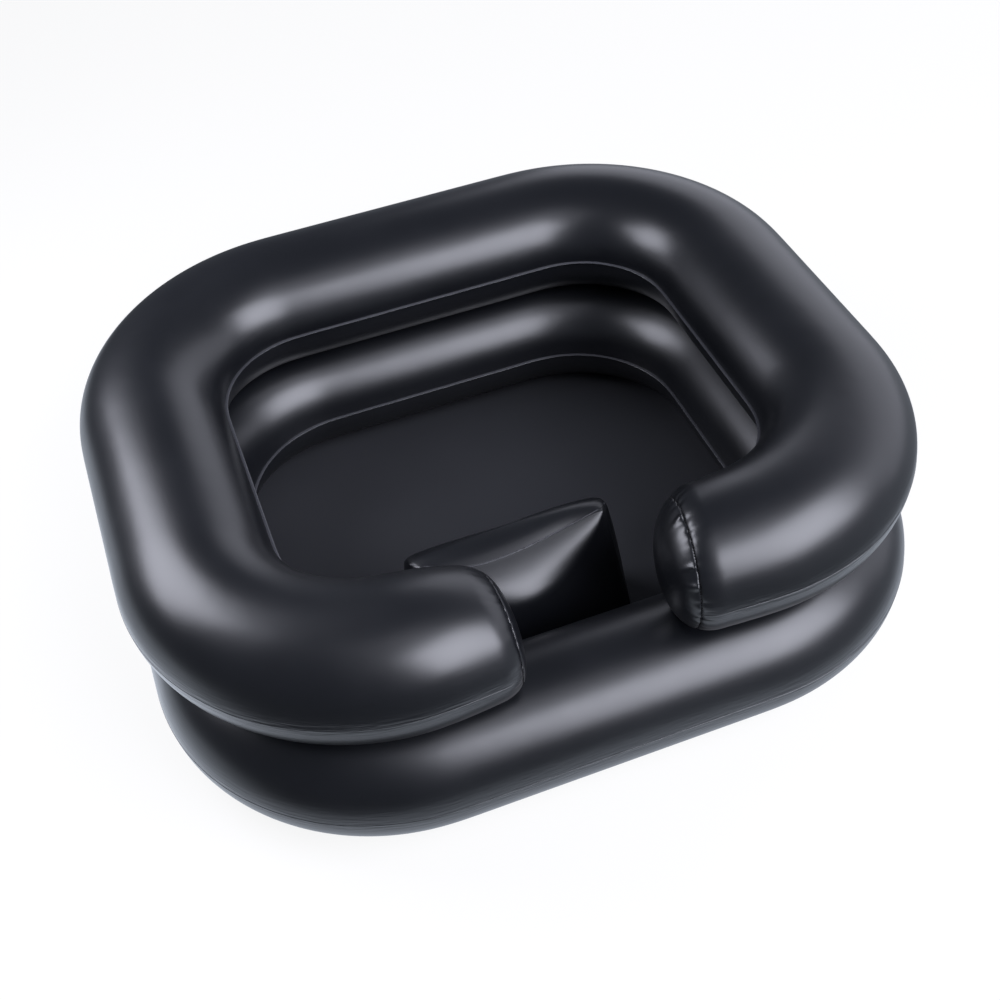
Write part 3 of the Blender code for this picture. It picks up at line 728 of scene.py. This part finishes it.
def end_cap(name, side, places, material):
    """Domed panel at an arm's end, gathered round its weld."""
    shape = bmesh.new()
    near_layer = shape.verts.layers.float.new("weld_near")
    line_layer = shape.verts.layers.float_vector.new("weld_line")
    bmesh.ops.create_uvsphere(shape, u_segments=CAP_STEPS, v_segments=CAP_STEPS // 2, radius=1)
    bmesh.ops.rotate(shape, cent=(0, 0, 0), matrix=Matrix.Rotation(pi / 2, 3, "Y"), verts=shape.verts)
    cut_plane(shape, (0, 0, 0), (-1, 0, 0))
    wide, high = end_size(places[0])
    for vert in shape.verts:
        turn = atan2(vert.co.z, vert.co.y)
        out = hypot(vert.co.y, vert.co.z)
        height = dome(out) * CAP_BULGE[side]
        from_rim = hypot((1 - out) * wide, height)
        moved = drawn_in(turn, from_rim) + lone_gathers(side, turn, from_rim)
        grown = (out + moved / wide * min(CALM_MIDDLE * out, 1)) / max(out, TOUCH)
        vert[near_layer] = INNER_WRINKLES * exp(-from_rim / WRINKLE_REACH[-1])
        vert[line_layer] = (CAP_LINE * cos(turn), CAP_LINE * sin(turn), side)
        vert.co = (height, vert.co.y * grown * wide, vert.co.z * grown * high)
    put_on_arm(shape, places)
    node = name.replace("_skin", "")
    return finished(name, mesh_of(shape, name), material, [node])


def cap_weld(name, places, material):
    """The narrow pressed bead round an end cap, uneven like a stitched line."""
    shape = bmesh.new()
    bmesh.ops.create_circle(shape, segments=BEAD_SIDES, radius=1)
    wide, high = end_size(places[0])
    reach = 1 - GROOVE_DEPTH / wide
    wide, high = wide * reach, high * reach
    for vert in shape.verts:
        vert.co = (BEAD_RADIUS * vert.co.x, wide + BEAD_RADIUS * vert.co.y, 0)
    spun(shape, (1, 0, 0), STITCHES * STITCH_STEPS)
    for vert in shape.verts:
        turn = atan2(vert.co.z, vert.co.y)
        out = hypot(vert.co.y, vert.co.z)
        stitch = STITCH_DEPTH * sin(STITCHES * turn) + waver(vert.co, *BEAD_ROUGHNESS)
        grown = (out + PUCKER_DEPTH * pucker(turn) + stitch) / out
        wander = waver(Vector((0, vert.co.y, vert.co.z)), *BEAD_WANDER)
        vert.co = (vert.co.x + wander, vert.co.y * grown, vert.co.z * grown * high / wide)
    put_on_arm(shape, places)
    finished(name, mesh_of(shape, name), material)


# ---- Valves' places ----


class Valve(NamedTuple):
    """A valve: the start of its nodes' names, its stopper's body, its seat's middle and its axis's tilt."""

    prefix: str
    stopper_body: str
    middle: tuple
    tilt: float


LOWER_VALVE = Valve("lower_ring_valve", "lower_valve_stopper", (0.045, 0.26305, 0.074148), radians(64))
UPPER_VALVE = Valve(
    "upper_ring_valve", "upper_valve_stopper", (-0.045, 0.269386, 0.126657), radians(116)
)
CUSHION_VALVE = Valve(
    "headrest_valve", "headrest_valve_stopper", (-0.017, -0.062223, 0.046), acos(0.105786)
)
SEAT_RADIUS = 0.0155
SEAT_EASE = 0.034
SEAT_HEIGHT = 0.01
POCKET_RADIUS = 0.0105
POCKET_DEPTH = 0.022


def valve_frame(valve):
    """The frame of a valve: its Z axis is its own axis, pointing out of the chamber."""
    return Matrix.Translation(valve.middle) @ Matrix.Rotation(-valve.tilt, 4, "X")


def seated(mesh, valve):
    """Draws a chamber's sheet in round a valve's flat flange and opens a pocket behind it."""
    place = valve_frame(valve)
    back = place.inverted()
    shape = bmesh.new()
    shape.from_mesh(mesh)
    behind = set()
    for vert in shape.verts:
        local = back @ vert.co
        out = hypot(local.x, local.y)
        if out < SEAT_EASE and abs(local.z) < SEAT_HEIGHT:
            if local.z > 0:
                local.z *= ease(out, SEAT_RADIUS, SEAT_EASE)
                vert.co = place @ local
            if out < POCKET_RADIUS:
                behind.add(vert)
    patch = [face for face in shape.faces if all(vert in behind for vert in face.verts)]
    geometry = bmesh.ops.extrude_face_region(shape, geom=patch)["geom"]
    inward = place.to_3x3() @ Vector((0, 0, -POCKET_DEPTH))
    bmesh.ops.translate(shape, vec=inward, verts=verts_in(geometry))
    return mesh_of(shape, mesh.name)


def rings(vinyl, weld, thread):
    """Both rings: two sheets and two weld lines each, and the upper one's end caps."""
    lower_places = stations(lower_line(), LOWER.centre, True)
    upper_places = stations(upper_line(), UPPER.foot, False)
    for name, ring, places, side, closed, shaped, valve in (
        ("lower_ring_bottom_sheet", LOWER, lower_places, -1, True, lower_shaped, None),
        ("lower_ring_top_sheet", LOWER, lower_places, 1, True, lower_shaped, LOWER_VALVE),
        ("upper_ring_bottom_sheet", UPPER, upper_places, -1, False, upper_shaped, UPPER_VALVE),
        ("upper_ring_top_sheet", UPPER, upper_places, 1, False, upper_shaped, None),
    ):
        mesh = half_tube(name + "_skin", ring, places, side, closed, shaped)
        if valve:
            mesh = seated(mesh, valve)
        skin = finished(name + "_skin", mesh, vinyl, [name])
    for name, ring, places, closed in (
        ("lower_ring", LOWER, lower_places, True), ("upper_ring", UPPER, upper_places, False),
    ):
        weld_band(name + "_outer_weld", ring, places, 1, closed, vinyl)
        weld_band(name + "_inner_weld", ring, places, -1, closed, weld)
    for name, side, ends in (
        ("upper_ring_right_end_cap", 1, upper_places[:2]),
        ("upper_ring_left_end_cap", -1, upper_places[:-3:-1]),
    ):
        cap = end_cap(name + "_skin", side, ends, vinyl)
        cap_weld(name + "_weld", ends, thread)


# ---- Floor sheet ----

FLOOR_STEP = 0.004
FLOOR_SPARE = 1.02
TOOL_STRETCH = 20
FLOOR_WAVE = 0.0011
FLOOR_WAVE_MIDDLE = 0.5
FLOOR_WAVE_SWING = (0.9, 9)
FLOOR_WAVE_LAYER = 2
FLOOR_LOOSE = (0.150, 0.120)
FLOOR_EASE = 0.05
BASE_EASE = (0.004, 0.03)
DRAIN_EASE = (0.022, 0.05)
DRAIN_PLACE = (-0.140, -0.062, 0.0005)


def floor_lift(x, y, low, high):
    """How far the loose middle of the floor sheet stands up, away from the cushion's base and the drain."""
    inside = ease(min(FLOOR_LOOSE[0] - abs(x), FLOOR_LOOSE[1] - abs(y)), 0, FLOOR_EASE)
    beside_x = max(low.x - x, x - high.x)
    beside_y = max(low.y - y, y - high.y)
    inside *= ease(max(beside_x, beside_y), *BASE_EASE)
    inside *= ease(hypot(x - DRAIN_PLACE[0], y - DRAIN_PLACE[1]), *DRAIN_EASE)
    wave = FLOOR_WAVE_MIDDLE + waver(Vector((x, y, FLOOR_WAVE_LAYER)), *FLOOR_WAVE_SWING)
    return FLOOR_WAVE * inside * max(wave, 0)


def floor_sheet(material):
    """The floor: a fine sheet cut to the node's outline and drain hole, then lifted in soft waves."""
    low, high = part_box("basin_floor")
    size, middle = high - low, (low + high) / 2
    shape = bmesh.new()
    bmesh.ops.create_grid(
        shape, x_segments=round(size.x / FLOOR_STEP), y_segments=round(size.y / FLOOR_STEP), size=0.5,
    )
    bmesh.ops.scale(shape, vec=(size.x * FLOOR_SPARE, size.y * FLOOR_SPARE, 1), verts=shape.verts)
    bmesh.ops.translate(shape, vec=(middle.x, middle.y, low.z), verts=shape.verts)
    top = bmesh.ops.extrude_face_region(shape, geom=shape.faces[:])["geom"]
    bmesh.ops.translate(shape, vec=(0, 0, size.z), verts=verts_in(top))
    plate = mesh_of(shape, "floor_plate")
    tool = bmesh.new()
    tool.from_mesh(NODES["basin_floor"].data)
    for vert in tool.verts:
        vert.co.z = middle.z + (vert.co.z - middle.z) * TOOL_STRETCH
    plate = common_part(plate, mesh_of(tool, "floor_outline"))
    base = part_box("headrest_base_sheet")
    for vert in plate.vertices:
        vert.co.z += floor_lift(vert.co.x, vert.co.y, *base)
    piece = finished("basin_floor_sheet", plate, material, ["basin_floor"])


# ---- Neck cushion ----

CUSHION_HALF_WIDTH = 0.0827
PINCH = 0.0062
CUSHION_X = -0.0167
CUSHION_TOP = 0.107
CUSHION_BOTTOM = 0.0016
CUSHION_FRONT = -0.1523
CUSHION_REAR = -0.0603
FRONT_LEAN = 0.0588
REAR_LEAN = 0.011
REAR_BULGE = 0.004
REAR_DROP = 0.0045
END_DROP = 0.006
CROWN = 0.006
GUSSET_BULGE = 0.005
CUSHION_CUTS = 5
CUSHION_LEVELS = 3
SEAM_HALF_WIDTH = CUSHION_HALF_WIDTH - PINCH
SEAM_ENDS = CUSHION_FRONT + FRONT_LEAN
SEAM_BOW = 0.0155
SEAM_RISE = -0.0025
SEAM_SLOPE = 0.45
BOW_MIDDLE = -0.4
BOW_POWER = 1.5
FOLD_DEPTH = 0.070
FOLD_SWELL = 0.19
FOLD_SLOPE = 2.1
FOLD_ROUNDING = 0.95
FOLD_FULLNESS = 1.3
FOLD_END_POWER = 16
PANEL_EASE = (0.002, 0.010)
GUSSET_INSET = 0.0022
AIR_SETTINGS = {
    "quality": 8, "mass": 0.2, "tension_stiffness": 40, "compression_stiffness": 40, "shear_stiffness": 20,
    "bending_stiffness": 4, "use_pressure": True, "uniform_pressure_force": 4, "vertex_group_mass": "held",
}
AIR_FRAMES = 20
AIR_CAP = 0.003
HELD_FRONT = 0.004
HELD_SEAM = (0.0004, 0.008)
HELD_BASE = (0.004, 0.02)
WELT_RADIUS = 0.0006
WELT_FRONT = 0.008
WELT_POINTS = 80
WELT_EASES = 12


def from_bow(across):
    """How far a place across the cushion is from the middle of its bow, from 0 to 1 at either end."""
    out = across - BOW_MIDDLE
    return min(abs(out) / (1 - BOW_MIDDLE if out > 0 else 1 + BOW_MIDDLE), 1)


def bow(across):
    """The shape of the bowed top seam, from 0 at its ends to 1 at its middle."""
    return (1 - from_bow(across) ** 2) ** BOW_POWER


def seam_place(across):
    """A point of the top panel's bowed front seam."""
    return Vector((
        CUSHION_X + SEAM_HALF_WIDTH * across,
        SEAM_ENDS - SEAM_BOW * bow(across),
        CUSHION_TOP + SEAM_RISE * bow(across),
    ))


def seam_beside(place):
    """How far across the cushion a place is, from -1 to 1, and the front seam's point there."""
    across = min(max((place.x - CUSHION_X) / SEAM_HALF_WIDTH, -1), 1)
    return across, seam_place(across)


def seam_height(place):
    """Height of the bent surface that parts the top panel from the rest. It holds the front seam."""
    seam = seam_beside(place)[1]
    return seam.z - SEAM_SLOPE * (place.y - seam.y)


def levelled(shape, way):
    """Bends a shape so that the seam's surface is level at height 0, or back with -1."""
    for vert in shape.verts:
        vert.co.z -= way * seam_height(vert.co)


def cushion_place(across, along, up):
    """A point of the cushion's cage, from -1 to 1 across its width, from front to rear and upwards."""
    across, up = sin(pi / 2 * across), sin(pi / 2 * up)
    rise = (up + 1) / 2
    seam = seam_place(across)
    front = CUSHION_FRONT + (seam.y - CUSHION_FRONT) * rise
    rear = CUSHION_REAR - REAR_LEAN * rise
    rear += REAR_BULGE * (1 - across**2) * (1 - up**2 / 2)
    crown = CROWN * (1 - across**4) * (1 - along**2)
    back = (along + 1) / 2
    crown -= back**3 * REAR_DROP + back * across**6 * END_DROP
    half_width = CUSHION_HALF_WIDTH + GUSSET_BULGE * (1 - along**2) * (1 - up**2)
    half_width -= PINCH * rise * ((1 - along) / 2) ** 4
    return Vector((
        CUSHION_X + half_width * across,
        front + (rear - front) * (along + 1) / 2,
        CUSHION_BOTTOM + (seam.z - CUSHION_BOTTOM + crown) * rise,
    ))


def cushion_crease(edge):
    """1 along the front panel's top seam and its two ends, which are sharp, and 0 on a rounded edge."""
    middle = (edge.verts[0].co + edge.verts[1].co) / 2
    return float(middle.y == -1 and (middle.z == 1 or abs(middle.x) == 1))


def fold_front(mesh):
    """Pushes the front panel out below its seam, down to the fold that runs to the seam's two ends."""
    height = CUSHION_TOP - CUSHION_BOTTOM
    for vert in mesh.vertices:
        across, seam = seam_beside(vert.co)
        below = min(max(seam.z - vert.co.z, 0) / height, 1)
        plain = seam.y + (CUSHION_FRONT - seam.y) * below
        depth = FOLD_DEPTH + FOLD_SWELL * (1 - across**2) ** FOLD_FULLNESS
        depth = max(depth * (1 - across**FOLD_END_POWER), TOUCH)
        share = min(below / depth, 1)
        fold = seam.y - (FOLD_SLOPE - FOLD_ROUNDING * share) * share * depth * height
        folded = fold + (CUSHION_FRONT - fold) * max(below - depth, 0) / (1 - depth)
        vert.co.y += min(folded - plain, 0) * (1 - ease(vert.co.y - plain, *PANEL_EASE))


def smoothed(mesh, levels, name):
    """A mesh divided and rounded."""
    rough = loose(name, mesh)
    smooth = rough.modifiers.new("round", "SUBSURF")
    smooth.levels = smooth.render_levels = levels
    return worked_out(rough, name)


def cushion_skin():
    """The whole cushion as one fine skin, before it is blown up."""
    shape = bmesh.new()
    bmesh.ops.create_cube(shape, size=2)
    bmesh.ops.subdivide_edges(shape, edges=shape.edges, cuts=CUSHION_CUTS, use_grid_fill=True)
    crease = shape.edges.layers.float.new("crease_edge")
    for edge in shape.edges:
        edge[crease] = cushion_crease(edge)
    for vert in shape.verts:
        vert.co = cushion_place(*vert.co)
    skin = smoothed(plain_mesh(shape, "cushion_cage"), CUSHION_LEVELS, "cushion_skin")
    fold_front(skin)
    return skin


def blown_up(mesh, held):
    """Blows a closed skin up by simulation. Its held points stay, and no point moves further than a cap."""
    piece = loose("blown", mesh)
    group = piece.vertex_groups.new(name="held")
    for index, weight in held.items():
        group.add([index], weight, "REPLACE")
    cloth = piece.modifiers.new("air", "CLOTH")
    for name, value in AIR_SETTINGS.items():
        setattr(cloth.settings, name, value)
    cloth.settings.effector_weights.gravity = 0
    cloth.point_cache.frame_start = 1
    cloth.point_cache.frame_end = AIR_FRAMES
    scene = bpy.context.scene
    for step in range(1, AIR_FRAMES + 1):
        scene.frame_set(step)
    blown = piece.evaluated_get(bpy.context.evaluated_depsgraph_get()).data
    moves = [after.co - before.co for after, before in zip(blown.vertices, mesh.vertices)]
    piece.modifiers.remove(cloth)
    scene.frame_set(1)
    for vert, move in zip(mesh.vertices, moves):
        vert.co += move * min(1, AIR_CAP / max(move.length, TOUCH))
    return worked_out(piece, "cushion_blown")


def held_points(mesh):
    """The points that the welds at the cushion's front and foot hold, and how firmly, from 0 to 1."""
    held = {}
    for vert in mesh.vertices:
        at_front = vert.co.y < SEAM_ENDS + HELD_FRONT
        hold = 1 - ease(abs(vert.co.z - seam_height(vert.co)), *HELD_SEAM) if at_front else 0
        hold = max(hold, 1 - ease(vert.co.z, *HELD_BASE))
        if hold > 0:
            held[vert.index] = hold
    return held


def neck_cushion(vinyl, weld):
    """The cushion, blown up and parted at its welds into the body, the top panel and the gussets."""
    mesh = cushion_skin()
    mesh = blown_up(mesh, held_points(mesh))
    mesh = seated(smoothed(mesh, 1, "cushion_fine"), CUSHION_VALVE)
    reach = CUSHION_HALF_WIDTH - GUSSET_INSET
    left, right = CUSHION_X - reach, CUSHION_X + reach
    base = ((0, 0, CUSHION_BOTTOM), (0, 0, -1))
    ends = [((left + SEAM_GAP, 0, 0), (-1, 0, 0)), ((right - SEAM_GAP, 0, 0), (1, 0, 0))]
    for name, half, planes in (
        ("headrest_cushion", 1, [base, *ends]),
        ("headrest_left_gusset", 1, [base, ((left - SEAM_GAP, 0, 0), (1, 0, 0))]),
        ("headrest_right_gusset", 1, [base, ((right + SEAM_GAP, 0, 0), (-1, 0, 0))]),
        ("headrest_top_panel", -1, []),
    ):
        shape = bmesh.new()
        shape.from_mesh(mesh)
        for place, outward in planes:
            cut_plane(shape, place, outward)
        levelled(shape, 1)
        cut_plane(shape, (0, 0, -half * SEAM_GAP), (0, 0, half))
        levelled(shape, -1)
        skin = finished(name + "_skin", mesh_of(shape, name + "_skin"), vinyl, [name])
    cushion_welt(mesh, weld)


def cushion_welt(mesh, material):
    """The fine welded edge along the front of the top panel."""
    shape = bmesh.new()
    shape.from_mesh(mesh)
    levelled(shape, 1)
    cut = bmesh.ops.bisect_plane(
        shape, geom=all_of(shape), dist=TOUCH, plane_co=(0, 0, 0), plane_no=(0, 0, 1),
    )["geom_cut"]
    levelled(shape, -1)
    front = [vert.co.copy() for vert in verts_in(cut) if vert.co.y < SEAM_ENDS + WELT_FRONT]
    shape.free()
    front.sort(key=lambda point: point.x)
    xs, ys, zs = np.array(front).T
    run = np.linspace(xs[0], xs[-1], WELT_POINTS)
    line = np.stack([run, np.interp(run, xs, ys), np.interp(run, xs, zs)], axis=1)
    for _ in range(WELT_EASES):
        line[1:-1] = (line[:-2] + 2 * line[1:-1] + line[2:]) / 4
    curve = bpy.data.curves.new("welt_line", "CURVE")
    curve.dimensions = "3D"
    curve.bevel_depth = WELT_RADIUS
    curve.bevel_resolution = 3
    curve.use_fill_caps = True
    spline = curve.splines.new("POLY")
    spline.points.add(len(line) - 1)
    for index, point in enumerate(line):
        spline.points[index].co = (*point, 1)
    welt = worked_out(loose("welt_line", curve), "headrest_front_weld")
    finished("headrest_front_weld", welt, material)


# ---- Valves and drain ----

TURN_STEPS = 72
EDGE_STEPS = 3
FLANGE_FOOT = 0.0003
BORE_CHAMFER = 0.0004
COLLAR_ROUND = 0.0006
FLANGE_ROUND = 0.0003
FLANGE_RIM = 0.0005
HEAD_ROUND = 0.0007
HEAD_EDGE = 0.0005
STEM_RADIUS = 0.0065
STEM_BORE = 0.0045
STEM_FOOT = -0.008
DRAIN_BORE = 0.008
DRAIN_FLANGE = 0.02


def turned(name, profile, place, material, body, nodes, closed=True):
    """A fitting turned from a profile of (radius, height) about the Z axis of its place."""
    shape = bmesh.new()
    verts = [shape.verts.new((radius, 0, height)) for radius, height in profile]
    for first, second in zip(verts, verts[1:]):
        shape.edges.new((first, second))
    if closed:
        shape.edges.new((verts[-1], verts[0]))
    spun(shape, (0, 0, 1), TURN_STEPS)
    bmesh.ops.transform(shape, matrix=place, verts=shape.verts)
    finished(name, mesh_of(shape, name), material, nodes, body)


def rounded_edge(radius, height, size, start):
    """Quarter round of an outline's outer edge, clockwise, above (start 0) or below (start 3)."""
    middle = height + (size if start else -size)
    turns = [radians(90 * start + 90 * step / EDGE_STEPS) for step in range(EDGE_STEPS, -1, -1)]
    return [(radius - size + size * cos(turn), middle + size * sin(turn)) for turn in turns]


def fitting_profile(bore, collar, top, root, flange_top, flat, drop, flange):
    """A fitting's outline from its bore over its collar and the collar's root to its flange's edge."""
    points = [(bore, top - BORE_CHAMFER), (bore + BORE_CHAMFER, top)]
    points += rounded_edge(collar, top, COLLAR_ROUND, 0)
    points += [(collar + out, flange_top + up) for out, up in root]
    points += [(flat, flange_top), (flat + FLANGE_RIM, flange_top - drop)]
    points += rounded_edge(flange, flange_top - drop, FLANGE_ROUND, 0)
    return points + [(flange, FLANGE_FOOT)]


def stopper_profile(foot, dish, dish_height, rim, rim_height, head, plug):
    """A stopper's outline from the middle of its dished head round its rim to its ribbed plug."""
    points = [(0, foot + dish_height), (dish, foot + dish_height), (rim, foot + rim_height)]
    points += rounded_edge(head, foot + rim_height, HEAD_ROUND, 0)
    points += rounded_edge(head, foot, HEAD_EDGE, 3)
    return points + [(plug[0][0], foot)] + plug


def valve_pieces(valve, material):
    """A valve's stem and stopper. Its flap and tether stay as they are."""
    place = valve_frame(valve)
    root = ((0, 0.0015), (0.0004, 0.0006), (0.0011, 0.0001))
    stem = fitting_profile(STEM_BORE, STEM_RADIUS, 0.009, root, 0.0013, 0.011, 0.0003, 0.014)
    stem += [(STEM_RADIUS, FLANGE_FOOT), (STEM_RADIUS, STEM_FOOT), (STEM_BORE, STEM_FOOT)]
    turned(valve.prefix + "_stem_fine", stem, place, material, "basin", [valve.prefix + "_stem"])
    plug = [(0.0042, 0.0065), (0.0038, 0.0051), (0.0042, 0.0037)]
    plug += [(0.0037, 0.0013), (0.0031, 0.0008), (0, 0.0008)]
    stopper = stopper_profile(0.0093, 0.0042, 0.0014, 0.0052, 0.0020, 0.0075, plug)
    turned(
        valve.prefix + "_stopper_fine", stopper, place, material, valve.stopper_body,
        [valve.prefix + "_stopper"], False,
    )


def drain_pieces(material):
    """The drain's fitting and stopper. Its tether stays as it is."""
    place = Matrix.Translation(DRAIN_PLACE)
    root = ((0, 0.0012), (0.0004, 0.0005), (0.0011, 0))
    fitting = fitting_profile(DRAIN_BORE, 0.0115, 0.0065, root, 0.0015, 0.0165, 0.0004, DRAIN_FLANGE)
    fitting += [(DRAIN_BORE, FLANGE_FOOT)]
    turned("drain_fitting_fine", fitting, place, material, "basin", ["drain_fitting"])
    plug = [(0.0077, 0.0046), (0.0072, 0.0036), (0.0077, 0.0024)]
    plug += [(0.0072, 0.0008), (0.0066, 0.0003), (0, 0.0003)]
    stopper = stopper_profile(0.0068, 0.0080, 0.0012, 0.0092, 0.0022, 0.0125, plug)
    turned("drain_stopper_fine", stopper, place, material, "drain_plug", ["drain_stopper"], False)


# ---- Camera, floor and light ----

CAMERA_TURN = radians(-16.279263)
CAMERA_RISE = radians(45.292657)
CAMERA_ROLL = radians(-5.626684)
CAMERA_DISTANCE = 1.129987
CAMERA_LENS = 50.485
SENSOR_WIDTH = 36
CAMERA_AIM = Vector((-0.006625, -0.035955, 0.09))
STAGE_AIM = Vector((0, 0, 0.1))
FLOOR_REACH = 6

# Name, turn and rise in degrees, distance, width, height, level
SOFTBOXES = (
    ("main_softbox", 36, 38, 2.6, 2.15, 1.8, 7.5),
    ("rear_softbox", -116, 39, 0.9, 0.54, 0.50, 6.5),
    ("side_glow", 118, 14, 2.4, 4.4, 2.2, 1.1),
    ("overhead_panel", 8, 66, 2.1, 1.1, 1.1, 0.75),
)
LAMP_TINT = (0.95, 0.965, 1.09)
SKY_TINT = (0.88, 0.95, 1.17)
SKY_LEVEL = 0.12
FLOOR_WHITE_SHARE = 0.88
# Painted reflection: the spot where the floor glows brightest in mirrored rays, and the tint it glows with
FLOOR_GLOW = (-0.62, 0.22, 0)
FLOOR_TINT = (0.9, 0.98, 1.12)

# Levels of the painted reflection that the mirrored floor glows with, each as from, to, level there and level
# here
FLOOR_SIDES = (-0.5, 0.9, 0.10, 0.35)
FLOOR_FADE = (1.2, 1.7, 0.75, 0)
GLOW_FADE = (0.3, 0.62, 0.9, 0)


def camera():
    """The photo's camera, with its slight roll."""
    data = bpy.data.cameras.new("camera")
    data.lens = CAMERA_LENS
    data.sensor_width = SENSOR_WIDTH
    data.clip_end = 100
    made = loose("camera", data)
    back = facing(CAMERA_TURN, CAMERA_RISE)
    level = Vector((cos(CAMERA_TURN), sin(CAMERA_TURN), 0))
    upright = back.cross(level)
    right = level * cos(CAMERA_ROLL) + upright * sin(CAMERA_ROLL)
    up = back.cross(right)
    made.matrix_world = frame_of(right, up, back, CAMERA_AIM + back * CAMERA_DISTANCE)
    bpy.context.scene.camera = made


def softbox(name, turn, rise, distance, width, height, level):
    """A lamp that faces the object. Its level is the brightness that it shows."""
    back = facing(radians(turn), radians(rise))
    data = bpy.data.lights.new(name, "AREA")
    data.shape = "RECTANGLE"
    data.size, data.size_y = width, height
    data.energy = level * pi * width * height
    data.color = LAMP_TINT
    lamp = loose(name, data)
    lamp.location = STAGE_AIM + back * distance
    lamp.rotation_euler = back.to_track_quat("Z", "Y").to_euler()
    lamp.visible_camera = False


def pale_floor():
    """Floor that shows near white and keeps its shading. Mirrored, it shows a painted reflection: an emission
    that darkens away from the object.
    """
    shape = bmesh.new()
    bmesh.ops.create_grid(shape, x_segments=1, y_segments=1, size=FLOOR_REACH)
    mesh = plain_mesh(shape, "floor")
    look = Look("pale_floor")
    look.set(Base_Color=(0.95, 0.95, 0.95, 1), Roughness=0.9)
    size = 1 / CAD_BOX[1].x, 1 / CAD_BOX[1].y, 0
    reach = look.vector("LENGTH", {0: look.vector("MULTIPLY", {0: look.place, 1: size})}, "Value")
    sideways = look.node("ShaderNodeSeparateXYZ", None, {0: look.place}, "X")
    from_glow = look.vector("DISTANCE", {0: look.place, 1: FLOOR_GLOW}, "Value")
    # Painted reflection: mirrored rays see this glowing level, set by side, by distance from the object and
    # by nearness to the glowing spot, instead of the lit floor
    level = look.range(sideways, *FLOOR_SIDES) + look.range(reach, *FLOOR_FADE)
    level = level + look.range(from_glow, *GLOW_FADE)
    tinted = look.vector("SCALE", {0: FLOOR_TINT, "Scale": level})
    painted_reflection = look.node("ShaderNodeEmission", None, {"Color": tinted, "Strength": 1})
    white = look.node("ShaderNodeEmission", None, {"Color": (1, 1, 1, 1), "Strength": 1})
    rays = (f"Is {ray} Ray" for ray in ("Camera", "Glossy", "Transmission"))
    seen, mirrored, through = (look.node("ShaderNodeLightPath", output=ray) for ray in rays)
    diffuse = Value(look, look.shader.outputs["BSDF"])
    share = FLOOR_WHITE_SHARE * (seen + through)
    whitened = look.node("ShaderNodeMixShader", None, {0: share, 1: diffuse, 2: white})
    mixed = look.node("ShaderNodeMixShader", None, {0: mirrored, 1: whitened, 2: painted_reflection})
    look.put(mixed, look.tree.nodes["Material Output"].inputs["Surface"])
    floor = loose("floor", mesh)
    mesh.materials.append(look.owner)


def studio():
    """Plain dim walls, white where the camera sees them, and the softboxes."""
    look = Look("studio", "worlds")
    look.tree.nodes.clear()
    color = (*(SKY_LEVEL * part for part in SKY_TINT), 1)
    walls = look.node("ShaderNodeBackground", None, {"Color": color})
    white = look.node("ShaderNodeBackground", None, {"Color": (1, 1, 1, 1)})
    seen = look.node("ShaderNodeLightPath", output="Is Camera Ray")
    mixed = look.node("ShaderNodeMixShader", None, {0: seen, 1: walls, 2: white})
    look.put(mixed, look.tree.nodes.new("ShaderNodeOutputWorld").inputs["Surface"])
    bpy.context.scene.world = look.owner
    for box in SOFTBOXES:
        softbox(*box)
    bpy.context.scene.view_settings.view_transform = "Standard"


def main():
    camera()
    vinyl, weld, moulded, floor = chamber_vinyl(), weld_vinyl(), moulded_vinyl(), floor_vinyl()
    rings(vinyl, weld, seam_thread())
    floor_sheet(floor)
    neck_cushion(vinyl, weld)
    for valve in (LOWER_VALVE, UPPER_VALVE, CUSHION_VALVE):
        valve_pieces(valve, moulded)
    drain_pieces(moulded)
    for name, node in NODES.items():
        if not node.hide_render:
            for slot in node.material_slots:
                slot.material = floor if name == "headrest_base_sheet" else moulded
    pale_floor()
    studio()


main()
